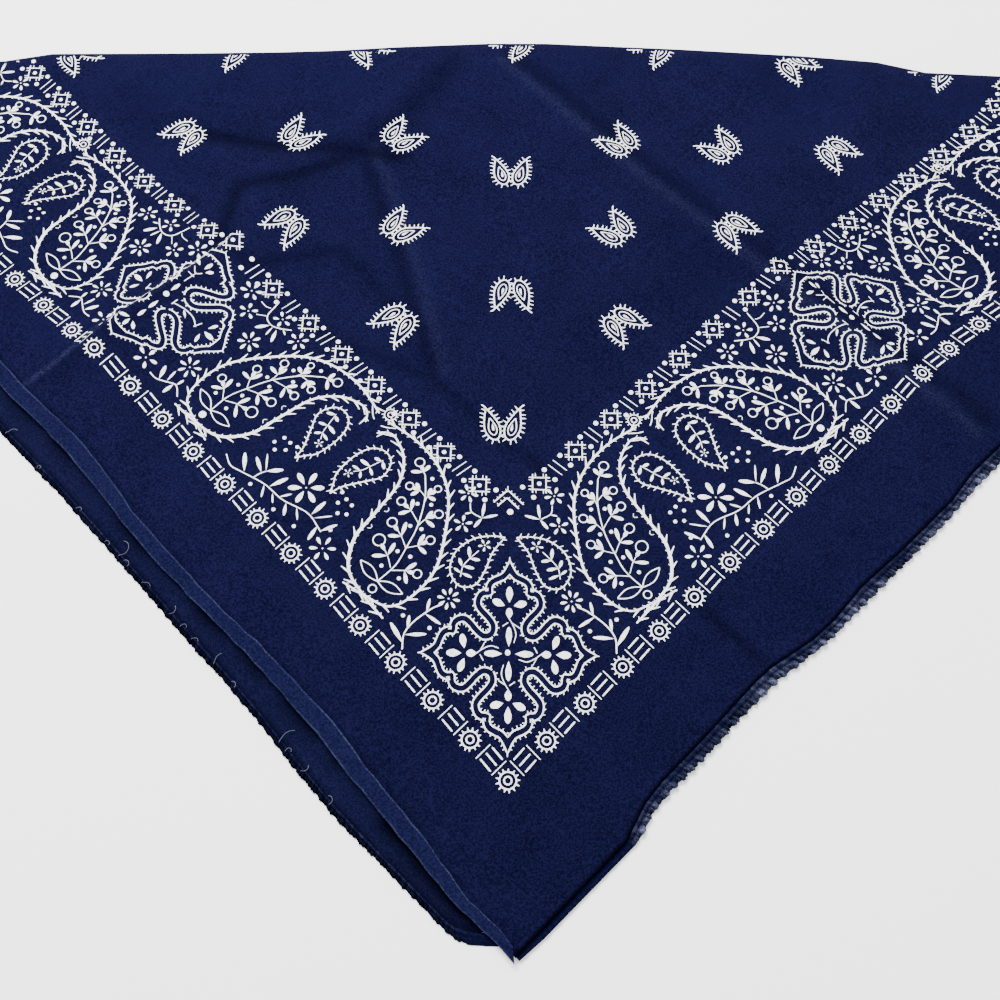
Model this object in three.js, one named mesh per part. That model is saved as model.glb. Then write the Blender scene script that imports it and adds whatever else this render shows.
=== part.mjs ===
// A cotton bandana folded once on its diagonal and laid flat, print outside.
//
// Units are millimetres, +Z up. The cloth's own coordinates are (u, v): both count repeats of the
// printed border from its corner, u along the right edge and v along the left edge, so that the
// folded point of the cloth lies toward -Y and the diagonal fold toward +Y.

import * as THREE from "three";

// Driving sizes of the cloth
const REPEAT = 19.2;
const DIAGONAL = REPEAT / Math.SQRT2;
const WALL = 1.0;
const SEAM_GAP = 0.3;
const SOFT_EDGE = 0.3;
const FRONT_BASE = WALL + SEAM_GAP;
const FRONT_TOP = FRONT_BASE + WALL;

// The two halves
const STRIP_BACK_START_U = -1.62;
const STRIP_BACK_OUTER_V = -1.84;
const STRIP_BACK_WIDTH = 5.8;
const NOMINAL_REACH = 24.0;
const LATTICE = 34;
const EDGE_CELLS = 4;
const FOLD_CELLS = 6;
const SETTLE_ROUNDS = 8;

// The soft fold
const FOLD_INSET = 2.0;
const FOLD_LIP = 6.0;
const FOLD_RISE = 1.0;
const FOLD_BLEND = 1.2;
const FOLD_STEPS = 4;

// Relief of the front half
const LIFT = 1.3;
const FLAT_MARGIN = 0.75;
const RISE_MARGIN = 1.6;
const CREASE_SAMPLES = 24;

// Roped hems
const PUCKERS = 95;
const SCALLOP = 0.24;
const SLANT = 0.35;
const CLOSEST_BENDS = 0.02;
const HEM_SECTION = [
  { out: 0.0, up: 0.0, edge: false },
  { out: 0.0, up: 1.0, edge: true },
  { out: 0.5, up: 1.0, edge: false },
  { out: 0.9, up: 0.74, edge: false },
  { out: 1.0, up: 0.36, edge: false },
  { out: 0.88, up: 0.0, edge: false },
];
// Heights of a hem at its seam, where it is plain, and on its puckers and between them
const FRONT_HEM_HEIGHTS = { seam: FRONT_TOP, plain: 1.9, crest: [2.9, 2.3] };
const BACK_HEM_HEIGHTS = { seam: WALL, plain: WALL, crest: [2.5, 1.9] };

// Turned strip on the front half
const STRIP_START_V = -2.27;
const STRIP_START_SLANT = -1.2;

const NAVY = new THREE.Color(0x121c40);
const NAVY_WRONG_SIDE = new THREE.Color(0x1a2752);

// Outline of the fold: reach (u + v) for each place across (u - v)
const FOLD_LINE = [
  { across: -28.0, reach: 23.5 },
  { across: -19.5, reach: 23.15 },
  { across: -16.9, reach: 23.1 },
  { across: -15.3, reach: 23.48 },
  { across: -11.0, reach: 23.65 },
  { across: -8.0, reach: 23.8 },
  { across: -6.0, reach: 23.94 },
  { across: -4.0, reach: 24.16 },
  { across: -1.0, reach: 24.41 },
  { across: 1.0, reach: 24.48 },
  { across: 5.5, reach: 24.38 },
  { across: 9.5, reach: 24.23 },
  { across: 12.0, reach: 24.05 },
  { across: 13.6, reach: 23.65 },
  { across: 16.2, reach: 23.58 },
  { across: 28.2, reach: 23.9 },
];

// Left edge of the front half: its outer fold, and how wide the turned strip is, in millimetres
const LEFT_FOLD = [
  { v: -2.3, u: -2.04, strip: 3.4 },
  { v: -1.95, u: -2.03, strip: 3.6 },
  { v: -1.5, u: -2.07, strip: 4.0 },
  { v: -1.0, u: -2.1, strip: 4.1 },
  { v: -0.5, u: -2.1, strip: 5.2 },
  { v: 0.0, u: -2.08, strip: 5.8 },
  { v: 0.5, u: -2.05, strip: 6.3 },
  { v: 1.5, u: -2.01, strip: 6.4 },
  { v: 2.5, u: -1.94, strip: 6.8 },
  { v: 3.0, u: -1.9, strip: 6.7 },
  { v: 4.0, u: -1.885, strip: 6.2 },
  { v: 5.0, u: -1.865, strip: 6.0 },
  { v: 6.0, u: -1.92, strip: 5.0 },
  { v: 7.0, u: -1.94, strip: 5.5 },
  { v: 7.8, u: -1.96, strip: 5.7 },
  { v: 8.5, u: -1.94, strip: 5.5 },
  { v: 9.0, u: -1.9, strip: 5.7 },
  { v: 10.0, u: -1.84, strip: 6.7 },
  { v: 11.0, u: -1.81, strip: 6.9 },
  { v: 12.0, u: -1.84, strip: 6.3 },
  { v: 12.5, u: -1.885, strip: 6.2 },
  { v: 26.5, u: -1.9, strip: 6.0 },
];

// Right edge of the front half: its seam, its outer edge, and how far the hem there is roped
const RIGHT_EDGE = [
  { u: -1.95, seam: -2.2, outer: -2.29, roped: 0 },
  { u: -1.4, seam: -2.2, outer: -2.33, roped: 0 },
  { u: 0.8, seam: -2.2, outer: -2.35, roped: 0 },
  { u: 1.0, seam: -2.12, outer: -2.38, roped: 1 },
  { u: 1.5, seam: -1.97, outer: -2.25, roped: 1 },
  { u: 2.0, seam: -1.92, outer: -2.18, roped: 1 },
  { u: 3.0, seam: -1.92, outer: -2.19, roped: 1 },
  { u: 4.6, seam: -1.88, outer: -2.19, roped: 1 },
  { u: 5.0, seam: -1.9, outer: -2.2, roped: 1 },
  { u: 5.5, seam: -2.0, outer: -2.28, roped: 1 },
  { u: 6.0, seam: -2.1, outer: -2.33, roped: 1 },
  { u: 6.6, seam: -2.13, outer: -2.37, roped: 1 },
  { u: 7.5, seam: -2.07, outer: -2.36, roped: 1 },
  { u: 8.7, seam: -2.14, outer: -2.38, roped: 1 },
  { u: 10.2, seam: -2.17, outer: -2.38, roped: 1 },
  { u: 11.0, seam: -2.08, outer: -2.37, roped: 1 },
  { u: 12.5, seam: -2.12, outer: -2.37, roped: 1 },
  { u: 25.4, seam: -2.12, outer: -2.38, roped: 1 },
];

// Left hem of the back half, from its far corner to the corner that curls in under the point
const HEM_LEFT_BACK = [
  { inner: [-2.34, 25.5], outer: [-2.53, 25.5], roped: 1 },
  { inner: [-2.35, 11.8], outer: [-2.53, 11.8], roped: 1 },
  { inner: [-2.31, 10.2], outer: [-2.475, 10.2], roped: 1 },
  { inner: [-2.31, 8.9], outer: [-2.475, 8.9], roped: 1 },
  { inner: [-2.34, 6.2], outer: [-2.53, 6.2], roped: 1 },
  { inner: [-2.34, 5.0], outer: [-2.525, 5.0], roped: 1 },
  { inner: [-2.37, 4.0], outer: [-2.545, 4.0], roped: 1 },
  { inner: [-2.44, 3.0], outer: [-2.6, 3.0], roped: 1 },
  { inner: [-2.49, 1.8], outer: [-2.675, 1.8], roped: 1 },
  { inner: [-2.45, 0.5], outer: [-2.62, 0.5], roped: 1 },
  { inner: [-2.39, -0.95], outer: [-2.56, -1.0], roped: 1 },
  { inner: [-2.34, -1.15], outer: [-2.51, -1.3], roped: 0.6 },
  { inner: [-2.24, -1.32], outer: [-2.4, -1.5], roped: 0.3 },
  { inner: [-2.07, -1.56], outer: [-2.2, -1.72], roped: 0 },
  { inner: [-1.88, -1.75], outer: [-2.02, -1.9], roped: 0 },
];

// Main creases of the front half: height in millimetres, half width in repeats, and a curve
const CREASES = [
  { name: "old fold across the left", rise: 1.5, half: 0.7, curve: [[10.8, 12.9], [5.2, 12.9], [-1.1, 12.3]] },
  { name: "old fold across the right", rise: 1.6, half: 0.75, curve: [[11.8, 12.1], [11.5, 5.0], [12.2, -1.9]] },
  { name: "old fold near the corner", rise: -1.1, half: 0.6, curve: [[4.7, 6.95], [4.75, 2.0], [5.0, -1.9]] },
  { name: "pinch by the fold", rise: -1.3, half: 0.5, curve: [[4.8, 15.5], [6.4, 14.3], [7.4, 12.3]] },
  { name: "slanting left crease", rise: 1.2, half: 0.5, curve: [[7.4, 12.3], [6.5, 9.7], [4.8, 7.0]] },
  { name: "crease beside the left border", rise: -1.0, half: 0.5, curve: [[4.75, 7.0], [3.7, 9.5], [3.1, 12.5]] },
  { name: "short left crease", rise: 0.9, half: 0.45, curve: [[4.7, 13.3], [5.5, 11.0], [5.1, 8.6]] },
  { name: "broad hollow on the right", rise: -1.2, half: 1.1, curve: [[10.8, 4.4], [8.6, 4.3], [6.4, 5.0]] },
  { name: "faint far right crease", rise: 0.6, half: 0.6, curve: [[12.2, 5.1], [15.0, 5.0], [18.0, 4.9]] },
];

// Plan position of a point of the cloth
function plan(u, v) {
  return [(u - v) * DIAGONAL, (u + v) * DIAGONAL];
}

// Straight-line look-up in a table with named columns
function lookUp(table, key, column, at) {
  let row = 1;
  while (row < table.length - 1 && at > table[row][key]) row += 1;
  const low = table[row - 1];
  const high = table[row];
  const share = THREE.MathUtils.clamp((at - low[key]) / (high[key] - low[key]), 0, 1);
  return low[column] + share * (high[column] - low[column]);
}

function foldReach(u, v) {
  return lookUp(FOLD_LINE, "across", "reach", u - v);
}

function leftFoldU(v) {
  return lookUp(LEFT_FOLD, "v", "u", v);
}

function rightSeamV(u) {
  return lookUp(RIGHT_EDGE, "u", "seam", u);
}

// Each crease becomes a smooth curve, sampled once, for the distance to it
const creaseSamples = CREASES.map(({ rise, half, curve }) => {
  const points = curve.map(([u, v]) => new THREE.Vector3(u, v, 0));
  return { rise, half, points: new THREE.QuadraticBezierCurve3(...points).getPoints(CREASE_SAMPLES) };
});

// Height of the front half over its flat state: creases that fade toward its bound edges and fold
function relief(u, v) {
  const here = new THREE.Vector3(u, v, 0);
  let height = LIFT;
  for (const { rise, half, points } of creaseSamples) {
    const distance = Math.min(...points.map((point) => point.distanceTo(here)));
    height += rise * Math.exp(-((distance / half) ** 2));
  }
  const fromLeft = (u - leftFoldU(v) - FLAT_MARGIN) / RISE_MARGIN;
  const fromRight = (v - rightSeamV(u)) / RISE_MARGIN;
  const edges = THREE.MathUtils.smoothstep(Math.min(fromLeft, fromRight), 0, 1);
  const fold = THREE.MathUtils.smoothstep(1 - (foldReach(u, v) - u - v) / FOLD_BLEND, 0, 1);
  return edges * THREE.MathUtils.lerp(Math.max(height, 0), FOLD_RISE, fold);
}

// Indexed body from points and triangles, turned so that its faces point out
function body(name, points, triangles, colour) {
  const geometry = new THREE.BufferGeometry();
  geometry.setAttribute("position", new THREE.Float32BufferAttribute(points.flat(), 3));
  const at = (index) => new THREE.Vector3(...points[index]);
  const volume = triangles.reduce((sum, [a, b, c]) => sum + at(a).dot(at(b).cross(at(c))), 0);
  const outward = volume < 0 ? triangles.map(([a, b, c]) => [a, c, b]) : triangles;
  geometry.setIndex(outward.flat());
  geometry.computeVertexNormals();
  const material = new THREE.MeshStandardMaterial({ color: colour, roughness: 0.9, metalness: 0 });
  const mesh = new THREE.Mesh(geometry, material);
  mesh.name = name;
  return mesh;
}

// Closed wall from a patch of triangles whose every point has an outer and an inner place
function wall(name, outer, inner, patch, colour) {
  const count = outer.length;
  const triangles = [...patch, ...patch.map(([a, b, c]) => [a + count, c + count, b + count])];
  const edges = new Map();
  for (const [a, b, c] of patch) {
    for (const [from, to] of [[a, b], [b, c], [c, a]]) {
      if (edges.has(`${to},${from}`)) edges.delete(`${to},${from}`);
      else edges.set(`${from},${to}`, [from, to]);
    }
  }
  for (const [from, to] of edges.values()) {
    triangles.push([from, from + count, to], [to, from + count, to + count]);
  }
  return body(name, [...outer, ...inner], triangles, colour);
}

// Closed body through equal rings of points, with a flat cap at each end
function loft(name, rings, colour) {
  const size = rings[0].length;
  const triangles = [];
  for (let ring = 0; ring < rings.length - 1; ring += 1) {
    for (let corner = 0; corner < size; corner += 1) {
      const next = (corner + 1) % size;
      const [a, b] = [ring * size + corner, ring * size + next];
      triangles.push([a, b, a + size], [b, b + size, a + size]);
    }
  }
  return { name, points: rings.flat(), triangles, size, colour };
}

// Caps a loft with triangles worked out on its section's own outline
function capped({ name, points, triangles, size, colour }, section) {
  const outline = section.map(([out, up]) => new THREE.Vector2(out, up));
  const cap = THREE.ShapeUtils.triangulateShape(outline, []);
  const turn = THREE.ShapeUtils.area(outline) < 0 ? 1 : -1;
  const last = points.length - size;
  for (const [a, b, c] of cap) {
    triangles.push(turn < 0 ? [a, c, b] : [a, b, c]);
    triangles.push(turn < 0 ? [a + last, b + last, c + last] : [a + last, c + last, b + last]);
  }
  return body(name, points, triangles, colour);
}

// Place in the cloth of point i, j of the front half's lattice, which is i + j rows from the point
function latticePlace(i, j) {
  const edgeInset = (WALL + SEAM_GAP) / REPEAT;
  const foldReachHere = NOMINAL_REACH - FOLD_INSET / DIAGONAL;
  const seamInset = SEAM_GAP / REPEAT;
  const cornerU = leftFoldU(RIGHT_EDGE[0].seam) + edgeInset;
  const cornerV = RIGHT_EDGE[0].seam + seamInset;
  const span = foldReachHere - cornerU - cornerV;
  const straightU = cornerU + (i / LATTICE) * span;
  const straightV = cornerV + (j / LATTICE) * span;
  const nearLeft = Math.max(0, 1 - i / EDGE_CELLS);
  const nearRight = Math.max(0, 1 - j / EDGE_CELLS);
  const nearFold = Math.max(0, 1 - (LATTICE - i - j) / FOLD_CELLS);
  const towardLeft = i / (i + j || 1);
  let u = straightU;
  let v = straightV;
  for (let round = 0; round < SETTLE_ROUNDS; round += 1) {
    const edgeShift = nearLeft * (leftFoldU(v) + edgeInset - cornerU);
    const seamShift = nearRight * (rightSeamV(u) + seamInset - cornerV);
    const foldShift = nearFold * (foldReach(u, v) - NOMINAL_REACH - edgeShift - seamShift);
    u = straightU + edgeShift + foldShift * towardLeft;
    v = straightV + seamShift + foldShift * (1 - towardLeft);
  }
  return [u, v];
}

// The fold as the lattice has it, from left to right
const FOLD_ROW = Array.from({ length: LATTICE + 1 }, (_, i) => {
  const [u, v] = latticePlace(i, LATTICE - i);
  return { across: u - v, reach: u + v + FOLD_INSET / DIAGONAL };
});

// The seam of the right edge as the lattice has it, from the point to the fold
const SEAM_ROW = Array.from({ length: LATTICE + 1 }, (_, i) => {
  const [u, v] = latticePlace(i, 0);
  return { u, seam: v - SEAM_GAP / REPEAT };
});

// Reach at which what lies against the lip of the fold ends
function lipReach(across) {
  return lookUp(FOLD_ROW, "across", "reach", across) - (FOLD_LIP + SEAM_GAP) / DIAGONAL;
}

// Front half: a triangular lattice of cells, then rows that carry the wall round the soft fold
function clothFront() {
  const outer = [];
  const inner = [];
  const patch = [];
  const index = new Map();
  for (let i = 0; i <= LATTICE; i += 1) {
    for (let j = 0; i + j <= LATTICE; j += 1) {
      const [u, v] = latticePlace(i, j);
      const [x, y] = plan(u, v);
      const top = FRONT_TOP + relief(u, v);
      index.set(`${i},${j}`, outer.length);
      outer.push([x, y, top]);
      inner.push([x, y, top - WALL]);
    }
  }
  const at = (i, j) => index.get(`${i},${j}`);
  for (let i = 0; i < LATTICE; i += 1) {
    for (let j = 0; i + j < LATTICE; j += 1) {
      patch.push([at(i, j), at(i + 1, j), at(i, j + 1)]);
      if (i + j < LATTICE - 1) patch.push([at(i + 1, j), at(i + 1, j + 1), at(i, j + 1)]);
    }
  }
  const foldRow = FOLD_ROW.map((_, i) => at(i, LATTICE - i));
  let previous = foldRow;
  for (let step = 1; step <= FOLD_STEPS + 1; step += 1) {
    const turn = Math.PI / 2 - (Math.PI * Math.min(step, FOLD_STEPS)) / FOLD_STEPS;
    const back = step > FOLD_STEPS ? FOLD_LIP - FOLD_INSET : 0;
    const row = foldRow.map((start) => {
      const [x, y, top] = outer[start];
      const middle = top / 2;
      const outerY = y + FOLD_INSET * Math.cos(turn) - back;
      const innerY = y + (FOLD_INSET - WALL) * Math.cos(turn) - back;
      outer.push([x, outerY, middle + middle * Math.sin(turn)]);
      inner.push([x, innerY, middle + (middle - WALL) * Math.sin(turn)]);
      return outer.length - 1;
    });
    for (let i = 0; i < LATTICE; i += 1) {
      patch.push([previous[i], previous[i + 1], row[i]], [previous[i + 1], row[i + 1], row[i]]);
    }
    previous = row;
  }
  return wall("cloth_front", outer, inner, patch, NAVY);
}

// Back half: one flat wall on the surface, inside its hem, its strip and the lip of the fold
function clothBack() {
  const gap = SEAM_GAP / REPEAT;
  const rightV = STRIP_BACK_OUTER_V + STRIP_BACK_WIDTH / REPEAT + gap;
  const outline = HEM_LEFT_BACK.map(({ inner: [u, v] }) => plan(u + gap, v + gap));
  outline.push(plan(STRIP_BACK_START_U - gap, rightV));
  const cornerAcross = lipReach(NOMINAL_REACH) - 2 * rightV;
  outline.push(plan(lipReach(cornerAcross) - rightV, rightV));
  for (const { across } of FOLD_ROW.filter((place) => place.across < cornerAcross).reverse()) {
    outline.push([across * DIAGONAL, lipReach(across) * DIAGONAL]);
  }
  const shape = new THREE.Shape(outline.map(([x, y]) => new THREE.Vector2(x, y)));
  const geometry = new THREE.ExtrudeGeometry(shape, { depth: WALL, bevelEnabled: false });
  const material = new THREE.MeshStandardMaterial({ color: NAVY_WRONG_SIDE, roughness: 0.9, metalness: 0 });
  const mesh = new THREE.Mesh(geometry, material);
  mesh.name = "cloth_back";
  return mesh;
}

// Right hem of the front half: a row for each bend of its outer edge and of the lattice's seam
function rightHemTable() {
  const bends = [...RIGHT_EDGE, ...SEAM_ROW].map(({ u }) => u).sort((a, b) => a - b);
  const first = RIGHT_EDGE[0].u;
  const last = RIGHT_EDGE[RIGHT_EDGE.length - 1].u;
  const within = bends.filter((u) => u >= first && u <= last);
  const apart = within.filter((u, row) => row === 0 || u - within[row - 1] > CLOSEST_BENDS);
  return apart.map((u) => ({
    inner: [u, lookUp(SEAM_ROW, "u", "seam", u)],
    outer: [u, lookUp(RIGHT_EDGE, "u", "outer", u)],
    roped: lookUp(RIGHT_EDGE, "u", "roped", u),
  }));
}

// Roped hem along a table of inner and outer places, with a pucker at every second station
function ropedHem(name, table, { seam, plain, crest }, colour) {
  const lengths = [0];
  for (let row = 1; row < table.length; row += 1) {
    const [u0, v0] = table[row - 1].outer;
    const [u1, v1] = table[row].outer;
    lengths.push(lengths[row - 1] + Math.hypot(u1 - u0, v1 - v0));
  }
  const total = lengths[lengths.length - 1];
  const place = (along) => {
    let row = 1;
    while (row < table.length - 1 && along > lengths[row]) row += 1;
    const share = (along - lengths[row - 1]) / (lengths[row] - lengths[row - 1]);
    const between = (column, axis) =>
      THREE.MathUtils.lerp(table[row - 1][column][axis], table[row][column][axis], share);
    const roped = THREE.MathUtils.lerp(table[row - 1].roped, table[row].roped, share);
    return { inner: [between("inner", 0), between("inner", 1)],
      outer: [between("outer", 0), between("outer", 1)], roped };
  };
  const last = 2 * PUCKERS;
  const pitch = (2 * total) / last;
  const rings = [];
  for (let station = 0; station <= last; station += 1) {
    const ends = Math.min(1, station / 2, (last - station) / 2);
    const valley = station % 2;
    rings.push(HEM_SECTION.map(({ out, up, edge }) => {
      const along = (station / last) * total + ends * SLANT * pitch * out;
      const { inner, outer, roped } = place(Math.min(along, total));
      const width = out * (1 - valley * roped * SCALLOP * out);
      const u = THREE.MathUtils.lerp(inner[0], outer[0], width);
      const v = THREE.MathUtils.lerp(inner[1], outer[1], width);
      const height = edge ? seam : up * THREE.MathUtils.lerp(plain, crest[valley], roped);
      return [...plan(u, v), height];
    }));
  }
  return capped(loft(name, rings, colour), HEM_SECTION.map(({ out, up }) => [out, up]));
}

// Strip turned over onto the face along the left edge, hooked round the front half's own edge
function stripLeftFront() {
  const flapBase = FRONT_TOP + SEAM_GAP;
  const flapTop = flapBase + WALL;
  const edgeInset = (WALL + SEAM_GAP) / REPEAT;
  const places = Array.from({ length: LATTICE }, (_, j) => latticePlace(0, j));
  const startShare = (STRIP_START_V - places[0][1]) / (places[1][1] - places[0][1]);
  places[0] = places[0].map((value, axis) => THREE.MathUtils.lerp(value, places[1][axis], startShare));
  const rings = places.map(([edgeU, v], station) => {
    const width = lookUp(LEFT_FOLD, "v", "strip", v);
    const slant = station === LATTICE - 1 ? 1 : station === 0 ? STRIP_START_SLANT : 0;
    return stripSection(width, flapBase, flapTop).map(([out, up]) => {
      return [...plan(edgeU - edgeInset + out / REPEAT, v - (slant * out) / REPEAT), up];
    });
  });
  const section = stripSection(LEFT_FOLD[0].strip, flapBase, flapTop);
  return capped(loft("strip_left_front", rings, NAVY_WRONG_SIDE), section);
}

function stripSection(width, flapBase, flapTop) {
  return [
    [WALL, FRONT_BASE],
    [WALL, flapBase],
    [width, flapBase],
    [width, flapTop],
    [WALL, flapTop],
    [SOFT_EDGE, flapTop - SOFT_EDGE],
    [0, flapBase],
    [0, FRONT_BASE + SOFT_EDGE],
    [SOFT_EDGE, FRONT_BASE],
  ];
}

// The same strip on the back half, lying flat under the front half
function stripRightBack() {
  const width = STRIP_BACK_WIDTH;
  const section = [[SOFT_EDGE, 0], [width, 0], [width, WALL], [SOFT_EDGE, WALL], [0, WALL / 2]];
  const farReach = lipReach(NOMINAL_REACH);
  const rings = [0, 1].map((end) => section.map(([out, up]) => {
    const v = STRIP_BACK_OUTER_V + out / REPEAT;
    const u = end ? lipReach(farReach - 2 * v) - v : STRIP_BACK_START_U;
    return [...plan(u, v), up];
  }));
  return capped(loft("strip_right_back", rings, NAVY_WRONG_SIDE), section);
}

const bandana = new THREE.Group();
bandana.name = "bandana";
bandana.add(clothFront());
bandana.add(clothBack());
bandana.add(ropedHem("hem_right_front", rightHemTable(), FRONT_HEM_HEIGHTS, NAVY));
bandana.add(ropedHem("hem_left_back", HEM_LEFT_BACK, BACK_HEM_HEIGHTS, NAVY_WRONG_SIDE));
bandana.add(stripLeftFront());
bandana.add(stripRightBack());

// The origin is the middle of the bounding box, on the surface that the cloth lies on
const middle = new THREE.Box3().setFromObject(bandana).getCenter(new THREE.Vector3());
bandana.position.set(-middle.x, -middle.y, 0);
bandana.updateMatrixWorld(true);

export default bandana;
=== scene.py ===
"""A navy cotton bandana, folded once on its diagonal and laid flat on a pale surface.

The cloth's own plane is complex: w = u + v*1j, in repeats of the printed border, with u along the
right edge and v along the left edge from the border's corner. Lengths in tables are in repeats
where they lie in the cloth and in millimetres where they rise from it. Meshes are in metres.
"""
import math

import bmesh
import bpy
import numpy as np
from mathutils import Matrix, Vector
from mathutils.bvhtree import BVHTree


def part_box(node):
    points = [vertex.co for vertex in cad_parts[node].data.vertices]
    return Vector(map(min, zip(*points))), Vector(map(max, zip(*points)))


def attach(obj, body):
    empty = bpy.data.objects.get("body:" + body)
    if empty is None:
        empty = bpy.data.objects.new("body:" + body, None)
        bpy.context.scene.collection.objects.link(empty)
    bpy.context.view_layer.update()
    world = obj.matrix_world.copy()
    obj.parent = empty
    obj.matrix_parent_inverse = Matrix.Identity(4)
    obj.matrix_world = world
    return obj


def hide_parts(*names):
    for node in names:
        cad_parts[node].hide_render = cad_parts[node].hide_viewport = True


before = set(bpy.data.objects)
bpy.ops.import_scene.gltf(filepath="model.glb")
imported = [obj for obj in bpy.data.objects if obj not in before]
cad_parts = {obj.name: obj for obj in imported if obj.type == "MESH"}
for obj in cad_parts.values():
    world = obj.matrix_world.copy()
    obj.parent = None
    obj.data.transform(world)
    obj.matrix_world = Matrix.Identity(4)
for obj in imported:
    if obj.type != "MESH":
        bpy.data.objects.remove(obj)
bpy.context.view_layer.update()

rng = np.random.default_rng(7)

# Driving sizes, in metres
MM = 0.001
REPEAT = 19.2 * MM
DIAGONAL = REPEAT / math.sqrt(2)
CAD_WALL = 1.0 * MM
SEAM_GAP = 0.3 * MM
UNDER_HEM = 0.2 * MM
FRONT_TOP = 2 * CAD_WALL + SEAM_GAP
CLOTH = 0.45 * MM
BACK_UNDERSIDE = 0.12 * MM
INK_PROUD = 0.07 * MM

# Lattices of the two layers
SIDE_REPEATS = 24.0
FRONT_CELLS = 290
BACK_CELLS = 230
EDGE_SHARE = 4 / 34
FOLD_SHARE = 6 / 34
SETTLE_ROUNDS = 8

BACK_STRIP_V = -1.84
BACK_STRIP_WIDTH = 5.8 * MM
FOLD_INSET = 2.0 * MM
FOLD_LIP = 6.0 * MM
FOLD_RISE = 1.0
FOLD_BLEND = 1.2
FOLD_STEPS = 8
LIFT = 1.3
CREASE_SHARPNESS = 0.16
FLAT_MARGIN = 0.75
RISE_MARGIN = 1.6

# Outline of the fold: reach (u + v) for each place across (u - v)
FOLD_LINE = np.array([
    # across, reach
    (-28.0, 23.5), (-19.5, 23.15), (-16.9, 23.1), (-15.3, 23.48), (-11.0, 23.65), (-8.0, 23.8),
    (-6.0, 23.94), (-4.0, 24.16), (-1.0, 24.41), (1.0, 24.48), (5.5, 24.38), (9.5, 24.23),
    (12.0, 24.05), (13.6, 23.65), (16.2, 23.58), (28.2, 23.9),
])

# Left edge of the front layer: v, u of its outer fold, and width of the turned strip in mm
LEFT_FOLD = np.array([
    (-2.3, -2.04, 3.4), (-1.95, -2.03, 3.6), (-1.5, -2.07, 4.0), (-1.0, -2.10, 4.1),
    (-0.5, -2.10, 5.2), (0.0, -2.08, 5.8), (0.5, -2.05, 6.3), (1.5, -2.01, 6.4),
    (2.5, -1.94, 6.8), (3.0, -1.90, 6.7), (4.0, -1.885, 6.2), (5.0, -1.865, 6.0),
    (6.0, -1.92, 5.0), (7.0, -1.94, 5.5), (7.8, -1.96, 5.7), (8.5, -1.94, 5.5),
    (9.0, -1.90, 5.7), (10.0, -1.84, 6.7), (11.0, -1.81, 6.9), (12.0, -1.84, 6.3),
    (12.5, -1.885, 6.2), (26.5, -1.90, 6.0),
])

# Right edge of the front layer: u, v of its seam, v of its outer edge, and how far it is roped
RIGHT_EDGE = np.array([
    (-1.95, -2.20, -2.29, 0), (-1.4, -2.20, -2.33, 0), (0.8, -2.20, -2.35, 0),
    (1.0, -2.12, -2.38, 1), (1.5, -1.97, -2.25, 1), (2.0, -1.92, -2.18, 1),
    (3.0, -1.92, -2.19, 1), (4.6, -1.88, -2.19, 1), (5.0, -1.90, -2.20, 1),
    (5.5, -2.00, -2.28, 1), (6.0, -2.10, -2.33, 1), (6.6, -2.13, -2.37, 1),
    (7.5, -2.07, -2.36, 1), (8.7, -2.14, -2.38, 1), (10.2, -2.17, -2.38, 1),
    (11.0, -2.08, -2.37, 1), (12.5, -2.12, -2.37, 1), (25.4, -2.12, -2.38, 1),
])

# Left hem of the back layer: inner line, outer line, and how far it is roped
HEM_LEFT_BACK = [
    (-2.34 + 25.5j, -2.53 + 25.5j, 1.0),
    (-2.35 + 11.8j, -2.53 + 11.8j, 1.0),
    (-2.31 + 10.2j, -2.475 + 10.2j, 1.0),
    (-2.31 + 8.9j, -2.475 + 8.9j, 1.0),
    (-2.34 + 6.2j, -2.53 + 6.2j, 1.0),
    (-2.34 + 5.0j, -2.525 + 5.0j, 1.0),
    (-2.37 + 4.0j, -2.545 + 4.0j, 1.0),
    (-2.44 + 3.0j, -2.60 + 3.0j, 1.0),
    (-2.49 + 1.8j, -2.675 + 1.8j, 1.0),
    (-2.45 + 0.5j, -2.62 + 0.5j, 1.0),
    (-2.39 - 0.95j, -2.56 - 1.0j, 1.0),
    (-2.34 - 1.15j, -2.51 - 1.3j, 0.6),
    (-2.24 - 1.32j, -2.40 - 1.5j, 0.3),
    (-2.07 - 1.56j, -2.20 - 1.72j, 0.0),
    (-1.88 - 1.75j, -2.02 - 1.9j, 0.0),
]

# Creases: rise in mm, half width, height of the sharp line along it in mm, and its curve
CREASES = [
    ("old fold across the left", 1.5, 0.70, 0.25, (10.8 + 12.9j, 5.2 + 12.9j, -1.1 + 12.3j)),
    ("old fold across the right", 1.6, 0.75, 0.35, (11.8 + 12.1j, 11.5 + 5.0j, 12.2 - 1.9j)),
    ("old fold near the corner", -1.1, 0.60, -0.25, (4.7 + 6.95j, 4.75 + 2.0j, 5.0 - 1.9j)),
    ("pinch by the fold", -1.3, 0.50, -0.40, (4.8 + 15.5j, 6.4 + 14.3j, 7.4 + 12.3j)),
    ("slanting left crease", 1.2, 0.50, 0.35, (7.4 + 12.3j, 6.5 + 9.7j, 4.8 + 7.0j)),
    ("crease beside the border", -1.0, 0.50, -0.30, (4.75 + 7.0j, 3.7 + 9.5j, 3.1 + 12.5j)),
    ("short left crease", 0.9, 0.45, 0.30, (4.7 + 13.3j, 5.5 + 11.0j, 5.1 + 8.6j)),
    ("broad hollow on the right", -1.2, 1.10, 0.0, (10.8 + 4.4j, 8.6 + 4.3j, 6.4 + 5.0j)),
    ("faint far right crease", 0.6, 0.60, 0.15, (12.2 + 5.1j, 15.0 + 5.0j, 18.0 + 4.9j)),
]

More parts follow.
